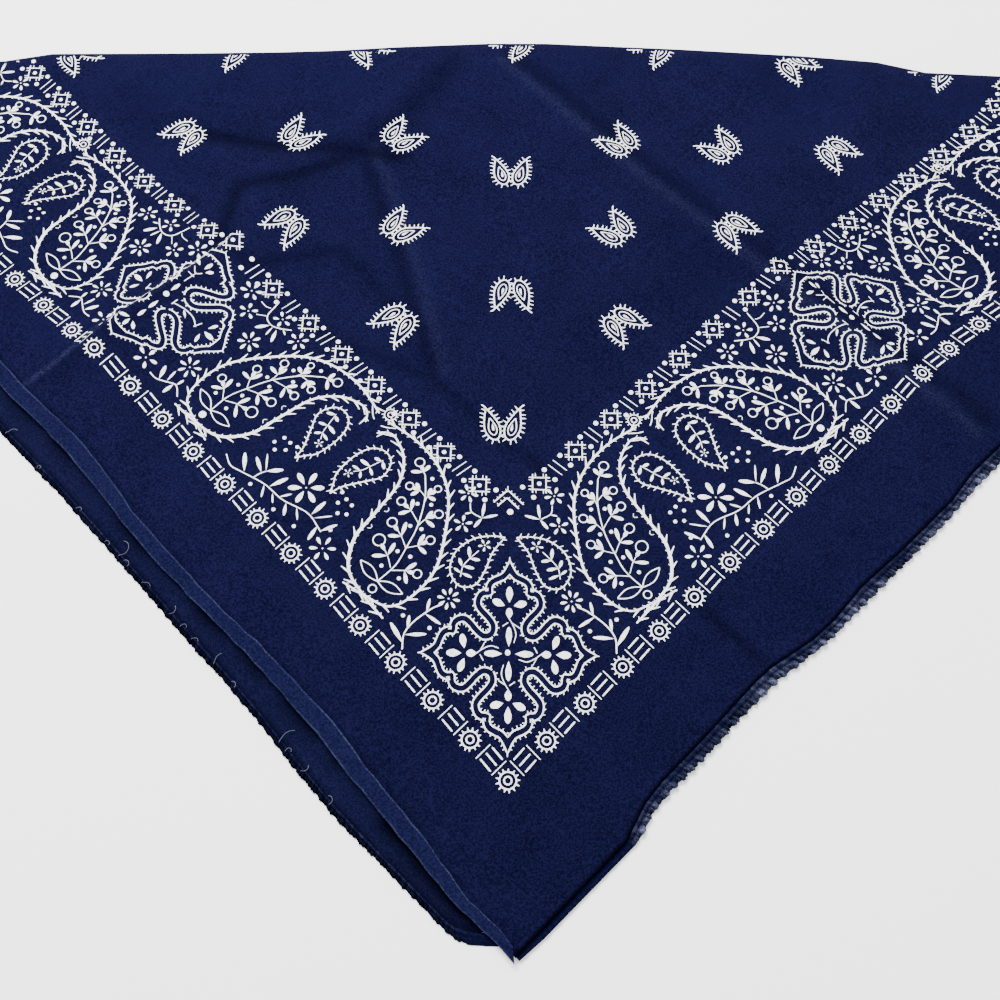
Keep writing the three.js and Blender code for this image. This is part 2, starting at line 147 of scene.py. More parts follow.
# Painted shade and painted highlight along the creases: darkening, lightening, half width, rise in
# mm, and places
CREASE_MARKS = [
    (0.34, 0.00, 0.24, -0.30, (11.85 + 12.0j, 11.8 + 7.6j, 11.95 + 4.1j, 12.2 - 1.6j)),
    (0.00, 0.10, 0.14, 0.35, (11.5 + 12.0j, 11.5 + 7.6j, 11.6 + 4.1j, 11.8 - 1.6j)),
    (0.50, 0.00, 0.20, -0.35, (7.4 + 12.3j, 5.9 + 12.75j, 4.8 + 13.4j, 3.6 + 12.6j)),
    (0.32, 0.00, 0.16, -0.25, (3.6 + 12.6j, 3.7 + 11.7j, 5.3 + 10.6j, 5.1 + 8.4j)),
    (0.55, 0.00, 0.24, -0.40, (5.0 + 15.4j, 6.0 + 13.9j, 7.4 + 12.3j, 7.9 + 11.6j)),
    (0.38, 0.00, 0.17, -0.30, (7.4 + 12.3j, 6.1 + 9.6j, 4.6 + 6.9j, 4.8 + 3.9j)),
    (0.00, 0.07, 0.14, 0.25, (7.7 + 12.2j, 6.4 + 9.5j, 4.9 + 6.9j)),
    (0.28, 0.00, 0.15, -0.20, (3.5 + 9.8j, 4.6 + 6.9j)),
    (0.30, 0.00, 0.30, -0.20, (10.8 + 12.8j, 8.8 + 12.4j, 7.4 + 12.3j)),
    (0.40, 0.00, 0.14, -0.20, (4.9 + 0.0j, 5.0 - 1.7j)),
    (0.10, 0.00, 0.75, -0.30, (6.4 + 5.1j, 8.6 + 4.9j, 10.7 + 5.0j, 11.9 + 4.3j)),
    (0.00, 0.22, 0.045, 0.25, (-1.9 + 12.62j, 0.3 + 12.55j, 1.1 + 12.55j, 3.7 + 12.4j)),
    (0.14, 0.00, 0.22, -0.15, (-1.9 + 12.35j, 0.3 + 12.3j, 1.1 + 12.3j, 3.7 + 12.2j)),
]


# Places in the cloth and in the frame

def plan(w):
    """Plan position of places in the cloth, as complex metres, before the frame's origin."""
    return DIAGONAL * (1 + 1j) * np.asarray(w)


# The hidden strip starts at a known place in the cloth, which gives the frame's origin
STRIP_START_U = -1.62
strip_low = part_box("strip_right_back")[0]
strip_end_v = BACK_STRIP_V + BACK_STRIP_WIDTH / REPEAT
ORIGIN = complex(
    strip_low.x - plan(STRIP_START_U + strip_end_v * 1j).real,
    strip_low.y - plan(STRIP_START_U + BACK_STRIP_V * 1j).imag,
)


def at(w, z):
    """Points in metres for places in the cloth at heights z."""
    place = plan(w) + ORIGIN
    return np.stack([place.real, place.imag, np.broadcast_to(z, place.shape)], -1)


def over_fold(w):
    """Where the fold puts places of the back layer."""
    return SIDE_REPEATS * (1 + 1j) - 1j * np.conj(w)


def across(w):
    return w.real - w.imag


def reach(w):
    return w.real + w.imag


def read(table, x, column=1):
    """A table's column at x, joined evenly between its rows."""
    return np.interp(x, table[:, 0], table[:, column])


def complex_interp(x, stations, values):
    """Places at x, joined evenly between those at the stations."""
    return np.interp(x, stations, values.real) + 1j * np.interp(x, stations, values.imag)


def fold_reach(w):
    return read(FOLD_LINE, across(w))


def left_fold(v):
    return read(LEFT_FOLD, v)


def strip_width(v):
    return read(LEFT_FOLD, v, 2) * MM / REPEAT


def right_seam(u):
    return read(RIGHT_EDGE, u)


def back_left(v):
    """Left edge of the back layer, just inside its hem."""
    inner = np.array([row[0] for row in HEM_LEFT_BACK])[::-1]
    return np.interp(v, inner.imag, inner.real)


def smoothstep(x):
    x = np.clip(x, 0, 1)
    return x * x * (3 - 2 * x)


def bezier(points, count):
    a, b, c = points
    t = np.linspace(0, 1, count)
    return (1 - t) ** 2 * a + 2 * t * (1 - t) * b + t ** 2 * c


def distance_to(w, path):
    """Distance from places to a path of short segments."""
    nearest = np.full(w.shape, np.inf)
    for start, end in zip(path[:-1], path[1:]):
        step = end - start
        share = np.clip(((w - start) * np.conj(step)).real / abs(step) ** 2, 0, 1)
        nearest = np.minimum(nearest, abs(w - start - share * step))
    return nearest


# Slow unevenness of the cloth: waves of set direction, with lengths in repeats and heights in mm
waves = [(np.exp(1j * rng.uniform(0, math.pi)), rng.uniform(1.4, 5.0), rng.uniform(0, 6.3))
         for _ in range(14)]


def unevenness(w):
    total = 0
    for direction, length, phase in waves:
        total = total + 0.035 * length ** 0.8 * np.sin(
            2 * math.pi * (w * np.conj(direction)).real / length + phase)
    return total


def relief(w):
    """Height of the front layer over its flat state, in metres."""
    height = LIFT + unevenness(w)
    for _, rise, half, sharp, curve in CREASES:
        distance = distance_to(w, bezier(curve, 24))
        height = height + rise * np.exp(-(distance / half) ** 2)
        height = height + sharp * np.exp(-distance / CREASE_SHARPNESS)
    for _, _, half, rise, places in CREASE_MARKS:
        height = height + rise * np.exp(-(distance_to(w, places) / half) ** 2)
    from_left = (w.real - left_fold(w.imag) - FLAT_MARGIN) / RISE_MARGIN
    from_right = (w.imag - right_seam(w.real)) / RISE_MARGIN
    edges = smoothstep(np.minimum(from_left, from_right))
    fold = smoothstep(1 - (fold_reach(w) - reach(w)) / FOLD_BLEND)
    height = np.maximum(height, 0.05)
    return MM * edges * (height + fold * (FOLD_RISE - height))


def lattice(cells, left_edge, right_edge, inset, corner_v):
    """Places of a triangular lattice that fills one layer, and its triangles."""
    i, j = np.meshgrid(np.arange(cells + 1), np.arange(cells + 1), indexing="ij")
    inside = i + j <= cells
    index = np.full(i.shape, -1)
    index[inside] = np.arange(inside.sum())
    i, j = i[inside], j[inside]
    corner_u = left_edge(corner_v) + inset
    span = SIDE_REPEATS - FOLD_INSET / DIAGONAL - corner_u - corner_v
    straight = corner_u + corner_v * 1j + (i + j * 1j) / cells * span
    near_left = np.maximum(0, 1 - i / (EDGE_SHARE * cells))
    near_right = np.maximum(0, 1 - j / (EDGE_SHARE * cells))
    near_fold = np.maximum(0, 1 - (cells - i - j) / (FOLD_SHARE * cells))
    toward_left = i / np.maximum(i + j, 1)
    w = straight
    for _ in range(SETTLE_ROUNDS):
        left_shift = near_left * (left_edge(w.imag) + inset - corner_u)
        right_shift = near_right * (right_edge(w.real) - corner_v)
        fold_shift = near_fold * (fold_reach(w) - SIDE_REPEATS - left_shift - right_shift)
        w = straight + left_shift + right_shift * 1j
        w = w + fold_shift * (toward_left + (1 - toward_left) * 1j)
    a, b = np.meshgrid(np.arange(cells), np.arange(cells), indexing="ij")
    lower = a + b < cells
    upper = a + b < cells - 1
    first = np.stack([index[a, b], index[a + 1, b], index[a, b + 1]], -1)[lower]
    second = np.stack([index[a + 1, b], index[a + 1, b + 1], index[a, b + 1]], -1)[upper]
    row = np.array([index[k, cells - k] for k in range(cells + 1)])
    return w, np.concatenate([first, second]), row


# Meshes

def in_scene(name, data):
    """A new object that shows the data."""
    obj = bpy.data.objects.new(name, data)
    bpy.context.scene.collection.objects.link(obj)
    return obj


def new_object(name, points, faces, material, smooth=True):
    mesh = bpy.data.meshes.new(name)
    faces = np.asarray(faces)
    mesh.vertices.add(len(points))
    mesh.vertices.foreach_set("co", np.asarray(points, np.float32).ravel())
    size = faces.shape[1]
    mesh.loops.add(faces.size)
    mesh.loops.foreach_set("vertex_index", faces.astype(np.int32).ravel())
    mesh.polygons.add(len(faces))
    mesh.polygons.foreach_set("loop_start", np.arange(0, faces.size, size, dtype=np.int32))
    mesh.update(calc_edges=True)
    mesh.polygons.foreach_set("use_smooth", np.full(len(faces), smooth))
    mesh.materials.append(material)
    return in_scene(name, mesh)


def give(obj, wear_and_painted_highlight, shade):
    """Two named numbers at each point, which the materials read as wear with painted highlight, and
    as painted shade.
    """
    for name, values in (("wear_and_painted_highlight", wear_and_painted_highlight), ("shade", shade)):
        attribute = obj.data.attributes.new(name, "FLOAT", "POINT")
        attribute.data.foreach_set("value", np.ravel(values).astype(np.float32))


def outward(obj):
    work = bmesh.new()
    work.from_mesh(obj.data)
    bmesh.ops.recalc_face_normals(work, faces=work.faces)
    work.to_mesh(obj.data)
    work.free()


def shell(name, outer, inner, patch, material):
    """Closed thin cloth from a patch whose points each have an outer and an inner place."""
    count = len(outer)
    edges = np.concatenate([patch[:, [0, 1]], patch[:, [1, 2]], patch[:, [2, 0]]])
    key = np.sort(edges, 1)
    _, first, uses = np.unique(key[:, 0] * (count + 1) + key[:, 1], return_index=True,
                               return_counts=True)
    rim = edges[first[uses == 1]]
    sides = np.concatenate([
        np.stack([rim[:, 0], rim[:, 0] + count, rim[:, 1]], -1),
        np.stack([rim[:, 1], rim[:, 0] + count, rim[:, 1] + count], -1),
    ])
    faces = np.concatenate([patch, patch[:, ::-1] + count, sides])
    obj = new_object(name, np.concatenate([outer, inner]), faces, material)
    outward(obj)
    return obj


def closed_faces(stations, size):
    """Triangles of a closed body through equal rings of points."""
    s, c = np.meshgrid(np.arange(stations - 1), np.arange(size), indexing="ij")
    n = (c + 1) % size
    quads = np.stack([s * size + c, s * size + n, (s + 1) * size + n, (s + 1) * size + c], -1)
    quads = quads.reshape(-1, 4)
    ends = [[[start, start + k, start + k + 1] for k in range(1, size - 1)]
            for start in (0, (stations - 1) * size)]
    return np.concatenate([quads[:, [0, 1, 2]], quads[:, [0, 2, 3]], *ends])


def loft(name, rings, material):
    """Closed body through equal rings of points."""
    obj = new_object(name, rings.reshape(-1, 3), closed_faces(*rings.shape[:2]), material)
    outward(obj)
    return obj


# Materials

def new_material(name):
    material = bpy.data.materials.new(name)
    material.use_nodes = True
    return material, material.node_tree, material.node_tree.nodes["Principled BSDF"]


def plug(tree, made, inputs):
    """Links outputs of other nodes to a node's inputs, and sets the others to plain values."""
    for key, value in inputs.items():
        if isinstance(value, bpy.types.NodeSocket):
            tree.links.new(value, made.inputs[key])
        else:
            made.inputs[key].default_value = value


def node(tree, kind, inputs):
    made = tree.nodes.new(kind)
    plug(tree, made, inputs)
    return made


def maths(tree, operation, a, b=0.0, clamp=False):
    made = node(tree, "ShaderNodeMath", {0: a, 1: b})
    made.operation = operation
    made.use_clamp = clamp
    return made.outputs[0]


def mix(tree, share, a, b):
    made = tree.nodes.new("ShaderNodeMix")
    made.data_type = "RGBA"
    plug(tree, made, {0: share, 6: a, 7: b})
    return made.outputs[2]


def weighted_sum(tree, *terms):
    """Sum of values times their weights."""
    total = None
    for value, weight in terms:
        part = maths(tree, "MULTIPLY", value, weight)
        total = part if total is None else maths(tree, "ADD", total, part)
    return total


def noise(tree, place, scale, detail, roughness):
    inputs = {"Vector": place, "Scale": scale, "Detail": detail, "Roughness": roughness}
    return node(tree, "ShaderNodeTexNoise", inputs).outputs[0]


THREADS_PER_METRE = 2600


def cloth_nodes(name, roughness, sheen, sheen_colour):
    """Material with the cloth's threads: weave height, slubs and slow mottling to colour with."""
    material, tree, shader = new_material(name)
    plug(tree, shader, {"Roughness": roughness, "Sheen Weight": sheen, "Sheen Roughness": 0.45,
                        "Sheen Tint": (*sheen_colour, 1), "Specular IOR Level": 0.005})
    place = tree.nodes.new("ShaderNodeTexCoord").outputs["Object"]
    turned = node(tree, "ShaderNodeMapping", {"Vector": place, "Rotation": (0, 0, -math.pi / 4)})
    axes = node(tree, "ShaderNodeSeparateXYZ", {"Vector": turned.outputs[0]})
    turn = 2 * math.pi * THREADS_PER_METRE / 2
    warp = maths(tree, "SINE", maths(tree, "MULTIPLY", axes.outputs[0], turn))
    weft = maths(tree, "SINE", maths(tree, "MULTIPLY", axes.outputs[1], turn))
    weave = maths(tree, "ABSOLUTE", maths(tree, "MULTIPLY", warp, weft))
    slubs = []
    for stretch in ((2200, 160, 400), (160, 2200, 400)):
        drawn = node(tree, "ShaderNodeMapping", {"Vector": turned.outputs[0], "Scale": stretch})
        slubs.append(noise(tree, drawn.outputs[0], 1.0, 2.0, 0.6))
    slub = maths(tree, "MULTIPLY", maths(tree, "ADD", *slubs), 0.5)
    mottle = noise(tree, place, 38.0, 5.0, 0.62)
    grain = noise(tree, place, 1500.0, 1.0, 0.6)
    height = maths(tree, "ADD", weave, maths(tree, "MULTIPLY", slub, 1.6))
    bump = node(tree, "ShaderNodeBump", {"Height": height, "Strength": 0.5, "Distance": 0.0002})
    plug(tree, shader, {"Normal": bump.outputs[0]})
    return material, tree, shader, slub, mottle, grain


def ramp(tree, value, low, high):
    made = node(tree, "ShaderNodeMapRange", {"Value": value, "From Min": low, "From Max": high})
    made.clamp = True
    return made.outputs[0]


def navy_material(name, dark, light, worn_and_lit):
    """Dyed cotton: dark to light by its threads and mottling, pale by wear and painted highlight,
    dark by painted shade.
    """
    material, tree, shader, slub, mottle, grain = cloth_nodes(name, 0.92, 0.004, (0.45, 0.55, 0.9))
    shade = weighted_sum(tree, (ramp(tree, slub, 0.38, 0.62), 0.26),
                         (ramp(tree, mottle, 0.30, 0.70), 0.24),
                         (ramp(tree, grain, 0.40, 0.62), 0.68))
    colour = mix(tree, shade, dark, light)
    marks = []
    for attribute in ("wear_and_painted_highlight", "shade"):
        mark = tree.nodes.new("ShaderNodeAttribute")
        mark.attribute_name = attribute
        marks.append(mark.outputs["Fac"])
    # Paleness for wear and painted highlight, broken up by the grain
    fray = maths(tree, "ADD", 0.35, ramp(tree, grain, 0.35, 0.65))
    rubbed_and_lit = maths(tree, "MULTIPLY", marks[0], fray, clamp=True)
    colour = mix(tree, rubbed_and_lit, colour, worn_and_lit)
    # Painted shade mixes the colour toward near-black
    deepest = maths(tree, "MINIMUM", marks[1], 0.97)
    plug(tree, shader, {"Base Color": mix(tree, deepest, colour, (0.0004, 0.0004, 0.0016, 1))})
    return material


def ink_material():
    """Off-white print sunk in the weave, thinner where the threads dip."""
    material, tree, shader, slub, _, grain = cloth_nodes("print_ink", 0.9, 0.05, (1, 1, 1))
    colour = mix(tree, ramp(tree, slub, 0.32, 0.55), (0.44, 0.46, 0.58, 1), (0.92, 0.92, 0.90, 1))
    thin = maths(tree, "MULTIPLY", ramp(tree, grain, 0.6, 0.8), 0.5)
    plug(tree, shader, {"Base Color": mix(tree, thin, colour, (0.36, 0.40, 0.56, 1))})
    return material


def thread_material():
    """Twisted sewing thread, lighter on the turns that catch the light."""
    material, tree, shader = new_material("thread")
    place = tree.nodes.new("ShaderNodeTexCoord").outputs["Object"]
    twist = node(tree, "ShaderNodeTexWave", {"Vector": place, "Scale": 900.0, "Distortion": 1.5})
    colour = mix(tree, twist.outputs["Fac"], (0.010, 0.012, 0.035, 1), (0.045, 0.052, 0.10, 1))
    bump = node(tree, "ShaderNodeBump",
                {"Height": twist.outputs["Fac"], "Strength": 0.4, "Distance": 0.0001})
    plug(tree, shader, {"Roughness": 0.6, "Sheen Weight": 0.3, "Base Color": colour,
                        "Normal": bump.outputs[0]})
    return material


# The third colour is the pale that wear and painted highlight mix toward
FACE = navy_material("printed_face", (0.0011, 0.0008, 0.0066, 1), (0.0048, 0.0050, 0.0258, 1),
                     (0.030, 0.036, 0.085, 1))
PLAIN = navy_material("plain_side", (0.0018, 0.0018, 0.0120, 1), (0.0060, 0.0067, 0.0290, 1),
                      (0.040, 0.050, 0.110, 1))
HEM = navy_material("hem", (0.0009, 0.0010, 0.0075, 1), (0.0034, 0.0039, 0.0205, 1),
                    (0.096, 0.106, 0.172, 1))
INK = ink_material()
THREAD = thread_material()


# The two layers of cloth

# How rubbed the front layer is near its fold, how much shade is painted on it toward the point,
# beside its hem's seam and beside its turned strip, and how fast that fades, in repeats
FOLD_WEAR, FOLD_WEAR_FADE = 0.08, 0.2
POINT_PAINTED_SHADE, POINT_FADE = 0.13, 10
SEAM_PAINTED_SHADOW, SEAM_FADE = 0.75, 0.03
STRIP_PAINTED_SHADOW, STRIP_FADE = 0.6, 0.05


def front_marks(w):
    """Wear with painted highlight, and painted shade, of the front layer at its places."""
    wear_and_painted_highlight = FOLD_WEAR * np.exp(-(fold_reach(w) - reach(w)) / FOLD_WEAR_FADE)
    shade = np.zeros(len(w))
    # Painted shade and painted highlight along the creases
    for crease_painted_shade, crease_painted_highlight, half, _, places in CREASE_MARKS:
        near = np.exp(-(distance_to(w, places) / half) ** 2)
        wear_and_painted_highlight += crease_painted_highlight * near
        shade = np.maximum(shade, crease_painted_shade * near)
    # Painted shade toward the point, and painted shadow beside the hem's seam and beside the turned
    # strip's edge
    toward_point = POINT_PAINTED_SHADE * (1 - smoothstep((reach(w) + 1) / POINT_FADE))
    shade = 1 - (1 - shade) * (1 - toward_point)
    beside_seam = w.imag - right_seam(w.real)
    shade = np.maximum(shade, SEAM_PAINTED_SHADOW * np.exp(-beside_seam / SEAM_FADE))
    beside_strip = w.real - left_fold(w.imag) - strip_width(w.imag)
    return wear_and_painted_highlight, np.maximum(shade, STRIP_PAINTED_SHADOW * np.exp(-abs(beside_strip) / STRIP_FADE))


def front_layer():
    gap = -UNDER_HEM / REPEAT
    w, patch, row = lattice(FRONT_CELLS, left_fold, lambda u: right_seam(u) + gap,
                            (CAD_WALL + SEAM_GAP) / REPEAT, RIGHT_EDGE[0, 1] + gap)
    top = FRONT_TOP + relief(w)
    outer = [at(w, top)]
    inner = [at(w, top - CLOTH)]
    patches = [patch]
    previous = row
    count = len(w)
    x, y, z = outer[0][row].T
    for step in range(1, FOLD_STEPS + 2):
        turn = math.pi / 2 - math.pi * min(step, FOLD_STEPS) / FOLD_STEPS
        back = FOLD_LIP - FOLD_INSET if step > FOLD_STEPS else 0
        middle = (z + BACK_UNDERSIDE) / 2
        rise = (z - BACK_UNDERSIDE) / 2
        outer.append(np.stack([x, y + FOLD_INSET * math.cos(turn) - back,
                               middle + rise * math.sin(turn)], -1))
        inner.append(np.stack([x, y + (FOLD_INSET - CLOTH) * math.cos(turn) - back,
                               middle + (rise - CLOTH) * math.sin(turn)], -1))
        new = count + np.arange(len(row))
        count += len(row)
        patches.append(np.stack([previous[:-1], previous[1:], new[:-1]], -1))
        patches.append(np.stack([previous[1:], new[1:], new[:-1]], -1))
        previous = new
    piece = shell("front_cloth", np.concatenate(outer), np.concatenate(inner),
                  np.concatenate(patches), FACE)
    rest = np.zeros(2 * count - len(w))
    give(piece, *(np.concatenate([marks, rest]) for marks in front_marks(w)))
    surface = BVHTree.FromPolygons(outer[0].tolist(), patch.tolist())
    return piece, surface


# Painted shadow on the back layer under the lifted left fold: v, darkening
UNDER_SHADOW = np.array([
    (-2.0, 0.9), (-1.5, 0.97), (1.0, 0.97), (1.2, 0.3), (2.1, 0.25), (2.4, 0.75), (2.8, 0.3),
    (3.2, 0.75), (3.8, 0.8), (4.2, 0.3), (4.7, 0.7), (5.0, 0.7), (5.4, 0.3), (6.0, 0.75),
    (6.3, 0.75), (6.8, 0.2), (7.8, 0.25), (8.1, 0.75), (8.5, 0.75), (9.2, 0.3), (10.4, 0.3),
    (10.7, 0.7), (11.1, 0.7), (11.5, 0.25), (12.1, 0.7), (12.4, 0.7), (13.0, 0.3), (26.0, 0.3),
])


# Painted shadow under the left fold: where it starts and how fast it fades, in repeats; and painted
# shade over the whole back layer, which lies under the front one
UNDER_START = 0.03
UNDER_FADE = 0.16
UNDER_PAINTED_SHADE = 0.17


def back_layer():
    corner_v = BACK_STRIP_V + BACK_STRIP_WIDTH / REPEAT + SEAM_GAP / REPEAT
    w, patch, _ = lattice(BACK_CELLS, back_left, lambda u: corner_v, -UNDER_HEM / REPEAT, corner_v)
    points = at(w, BACK_UNDERSIDE)
    depth = np.clip((reach(w) - fold_reach(w)) / 1.5 + 1, 0, 1)
    points[:, 1] -= (FOLD_LIP - FOLD_INSET) * depth
    upper = points + [0, 0, CLOTH]
    upper[:, 2] += 0.25 * MM * (1 + np.sin(3.1 * w.imag) * np.sin(2.3 * w.real + 1.0))
    piece = shell("back_cloth", points, upper, patch, PLAIN)
    gap = left_fold(w.imag) - w.real
    # Painted shadow under the lifted left fold, over painted shade on the whole layer
    shade = read(UNDER_SHADOW, w.imag) * np.exp(-np.maximum(gap - UNDER_START, 0) / UNDER_FADE)
    shade = 1 - (1 - np.where(gap > -0.3, shade, 0)) * (1 - UNDER_PAINTED_SHADE)
    give(piece, np.zeros(2 * len(w)), np.tile(shade, 2))
    return piece


front, front_surface = front_layer()
back = back_layer()


# Hems and turned strips

def along_table(table, distance):
    """Inner place, outer place and roping at distances along a hem's outer line."""
    inner, outer, roped = (np.array(column) for column in zip(*table))
    lengths = np.concatenate([[0], np.cumsum(abs(np.diff(outer)))])
    places = [complex_interp(distance, lengths, column) for column in (inner, outer)]
    return *places, np.interp(distance, lengths, roped)


HEM_PITCH = 2.0 * MM / REPEAT
HEM_STEPS = 6
HEM_SLANT = 0.7
CLUSTER_PITCH = 4.9 * MM / REPEAT
RIGHT_HEM_PROFILE = [
    # out, up, share of the puckers, wear with painted highlight, painted shade
    (0.00, 0.00, 0.0, 0.00, 1.0), (0.00, None, 0.0, 0.00, 0.8), (0.05, 0.78, 0.0, 0.16, 0.0),
    (0.12, 0.88, 0.0, 0.18, 0.0), (0.22, 0.90, 0.1, 0.17, 0.0), (0.32, 0.84, 0.3, 0.16, 0.0),
    (0.38, 0.74, 0.5, 0.16, 0.18), (0.44, 0.76, 0.8, 0.22, 0.10), (0.52, 0.92, 1.0, 0.36, 0.0),
    (0.62, 1.00, 1.0, 0.50, 0.0), (0.74, 0.98, 1.0, 0.62, 0.0), (0.86, 0.86, 1.0, 0.74, 0.0),
    (0.96, 0.62, 1.0, 0.84, 0.0), (1.00, 0.38, 1.0, 0.80, 0.0), (0.97, 0.16, 0.8, 0.40, 0.2),
    (0.88, 0.02, 0.4, 0.00, 0.5),
]
# The left hem lies in shade, so its points carry more painted shade and little highlight; columns as
# above
LEFT_HEM_PROFILE = [
    (0.00, 0.00, 0.0, 0.00, 0.7), (0.00, None, 0.0, 0.00, 0.7), (0.06, 0.60, 0.0, 0.02, 0.5),
    (0.16, 0.85, 0.2, 0.05, 0.0), (0.26, 0.90, 0.5, 0.10, 0.0), (0.36, 0.78, 0.6, 0.04, 0.3),
    (0.44, 0.62, 0.7, 0.00, 0.75), (0.52, 0.66, 0.9, 0.02, 0.4), (0.64, 0.80, 1.0, 0.05, 0.45),
    (0.76, 0.76, 1.0, 0.05, 0.6), (0.88, 0.60, 1.0, 0.04, 0.7), (0.97, 0.40, 1.0, 0.04, 0.75),
    (1.00, 0.24, 1.0, 0.03, 0.8), (0.96, 0.10, 0.8, 0.00, 0.8), (0.88, 0.02, 0.4, 0.00, 0.9),
]


def uneven(distance, spacing, low, high):
    """Random values with a set spacing along a line, joined evenly."""
    knots = max(3, int(distance[-1] / spacing))
    return np.interp(distance, np.linspace(0, distance[-1], knots), rng.uniform(low, high, knots))


def roped_hem(name, table, profile, seam, plain, crest):
    """Rolled hem whose stitches pull its frayed edge into crumbs, uneven in pitch and height."""
    outer_line = np.array([row[1] for row in table])
    total = abs(np.diff(outer_line)).sum()
    stations = int(total / HEM_PITCH * HEM_STEPS)
    distance = np.linspace(0, total, stations)
    inner, outer, roped = along_table(table, distance)
    drift = np.cumsum(rng.normal(0, 0.14, stations))
    wander = np.cumsum(rng.normal(0, 0.03, stations))
    strength = uneven(distance, 0.28, 0.35, 1.15)
    bulk = uneven(distance, 0.5, 0.86, 1.10)
    pale = uneven(distance, 0.9, 0.35, 1.25) * uneven(distance, 0.11, 0.15, 1.5)
    ends = np.clip(np.minimum(np.arange(stations), stations - 1 - np.arange(stations)) / 12, 0, 1)
    rings = np.zeros((stations, len(profile), 3))
    wear_and_painted_highlight, shade = np.zeros((2, stations, len(profile)))
    for corner, (out, up, share, worn_and_lit, dark) in enumerate(profile):
        phase = 2 * math.pi * (distance / HEM_PITCH + drift - HEM_SLANT * out)
        bulge = (0.5 + 0.5 * np.cos(phase)) ** 0.7
        pucker = roped * share * strength * ends
        crumb = roped * share * ends * rng.uniform(-1, 1, stations)
        clump = 0.5 + 0.5 * np.cos(2 * math.pi * (distance / CLUSTER_PITCH + wander - 0.5 * out))
        notch = 0.20 * pucker * (1 - bulge) + 0.15 * roped * share * ends * (1 - clump) ** 1.5
        width = out * (bulk ** (share * roped) - notch * out) + 0.03 * crumb
        tall = plain + (crest - plain) * roped
        tall = tall * (1 - 0.38 * pucker * (1 - bulge) - 0.12 * share * (1 - clump) + 0.07 * crumb)
        height = np.full(stations, seam) if up is None else up * tall
        rings[:, corner] = at(inner + (outer - inner) * width, np.maximum(height, 0.05 * MM))
        # Crests pale by wear and painted highlight; painted shade in the grooves and between the
        # puckers
        wear_and_painted_highlight[:, corner] = worn_and_lit * roped * pale * (0.3 + 0.7 * bulge) * (0.4 + 0.8 * clump)
        shade[:, corner] = dark * (0.35 + 0.65 * roped) + 0.8 * pucker * (1 - bulge) ** 2
    piece = loft(name, rings, HEM)
    give(piece, wear_and_painted_highlight, np.clip(shade, 0, 1))
    return piece


HEM_RIGHT_FRONT = [(u + seam * 1j, u + outer * 1j, roped) for u, seam, outer, roped in RIGHT_EDGE]
right_hem = roped_hem("front_right_hem", HEM_RIGHT_FRONT, RIGHT_HEM_PROFILE, seam=FRONT_TOP,
                      plain=1.9 * MM, crest=2.8 * MM)
left_hem = roped_hem("back_left_hem", HEM_LEFT_BACK, LEFT_HEM_PROFILE, seam=CAD_WALL,
                     plain=CAD_WALL, crest=1.9 * MM)

STRIP_PROFILE = [
    # share of the width, height in mm over the front layer's flat top, wear with painted highlight,
    # painted shade
    (0.22, 0.05, 0.0, 0.0), (1.00, 0.02, 0.0, 0.6), (1.02, 0.25, 0.1, 0.2), (1.00, 0.46, 0.5, 0.0),
    (0.96, 0.52, 0.4, 0.0), (0.90, 0.55, 0.0, 0.0), (0.60, 0.62, 0.0, 0.0), (0.34, 0.72, 0.0, 0.0),
    (0.16, 0.80, 0.0, 0.0), (0.09, 0.79, 0.1, 0.0), (0.05, 0.72, 0.5, 0.0), (0.015, 0.5, 0.7, 0.0),
    (0.00, 0.15, 0.2, 0.2), (0.00, -0.30, 0.0, 0.6), (0.03, -0.75, 0.0, 0.8),
    (0.10, -0.98, 0.0, 0.8), (0.20, -0.95, 0.0, 0.8), (0.20, -0.60, 0.0, 0.8),
    (0.12, -0.40, 0.0, 0.8), (0.10, 0.00, 0.0, 0.8), (0.13, 0.25, 0.0, 0.5), (0.22, 0.30, 0.0, 0.5),
]
STRIP_STATIONS = 620
STRIP_START_V = -2.27
STRIP_START_SLANT = 0.22
STRIP_END = 25.3


def turned_strip():
    """Edge turned over onto the face, with two fine pale lines along its folds, part rubbing and part
    painted highlight, and painted shade under its edges.
    """
    end_v = fold_reach(-1.9 + STRIP_END * 1j) - FOLD_INSET / DIAGONAL + 1.83
    v = np.linspace(STRIP_START_V, end_v, STRIP_STATIONS)
    along = v - STRIP_START_V
    outer = left_fold(v) + 0.35 * MM / REPEAT * uneven(along, 0.26, -1, 1)
    width = strip_width(v) * (1 + 0.05 * uneven(along, 0.45, -1, 1))
    lift = 0.12 * uneven(along, 0.55, -1, 1.6)
    slant = STRIP_START_SLANT * np.clip(1 - along / 0.8, 0, 1)
    rub_and_light = uneven(along, 0.35, 0.35, 1.0)
    rings = np.zeros((STRIP_STATIONS, len(STRIP_PROFILE), 3))
    wear_and_painted_highlight, shade = np.zeros((2, *rings.shape[:2]))
    for corner, (share, height, worn_and_lit, dark) in enumerate(STRIP_PROFILE):
        puffed = height + (lift * share if height > 0 else 0)
        place = outer + share * width + (v + slant * share) * 1j
        rings[:, corner] = at(place, FRONT_TOP + puffed * MM)
        wear_and_painted_highlight[:, corner] = worn_and_lit * rub_and_light
        shade[:, corner] = dark
    piece = loft("front_left_strip", rings, PLAIN)
    give(piece, wear_and_painted_highlight, shade)
    return piece


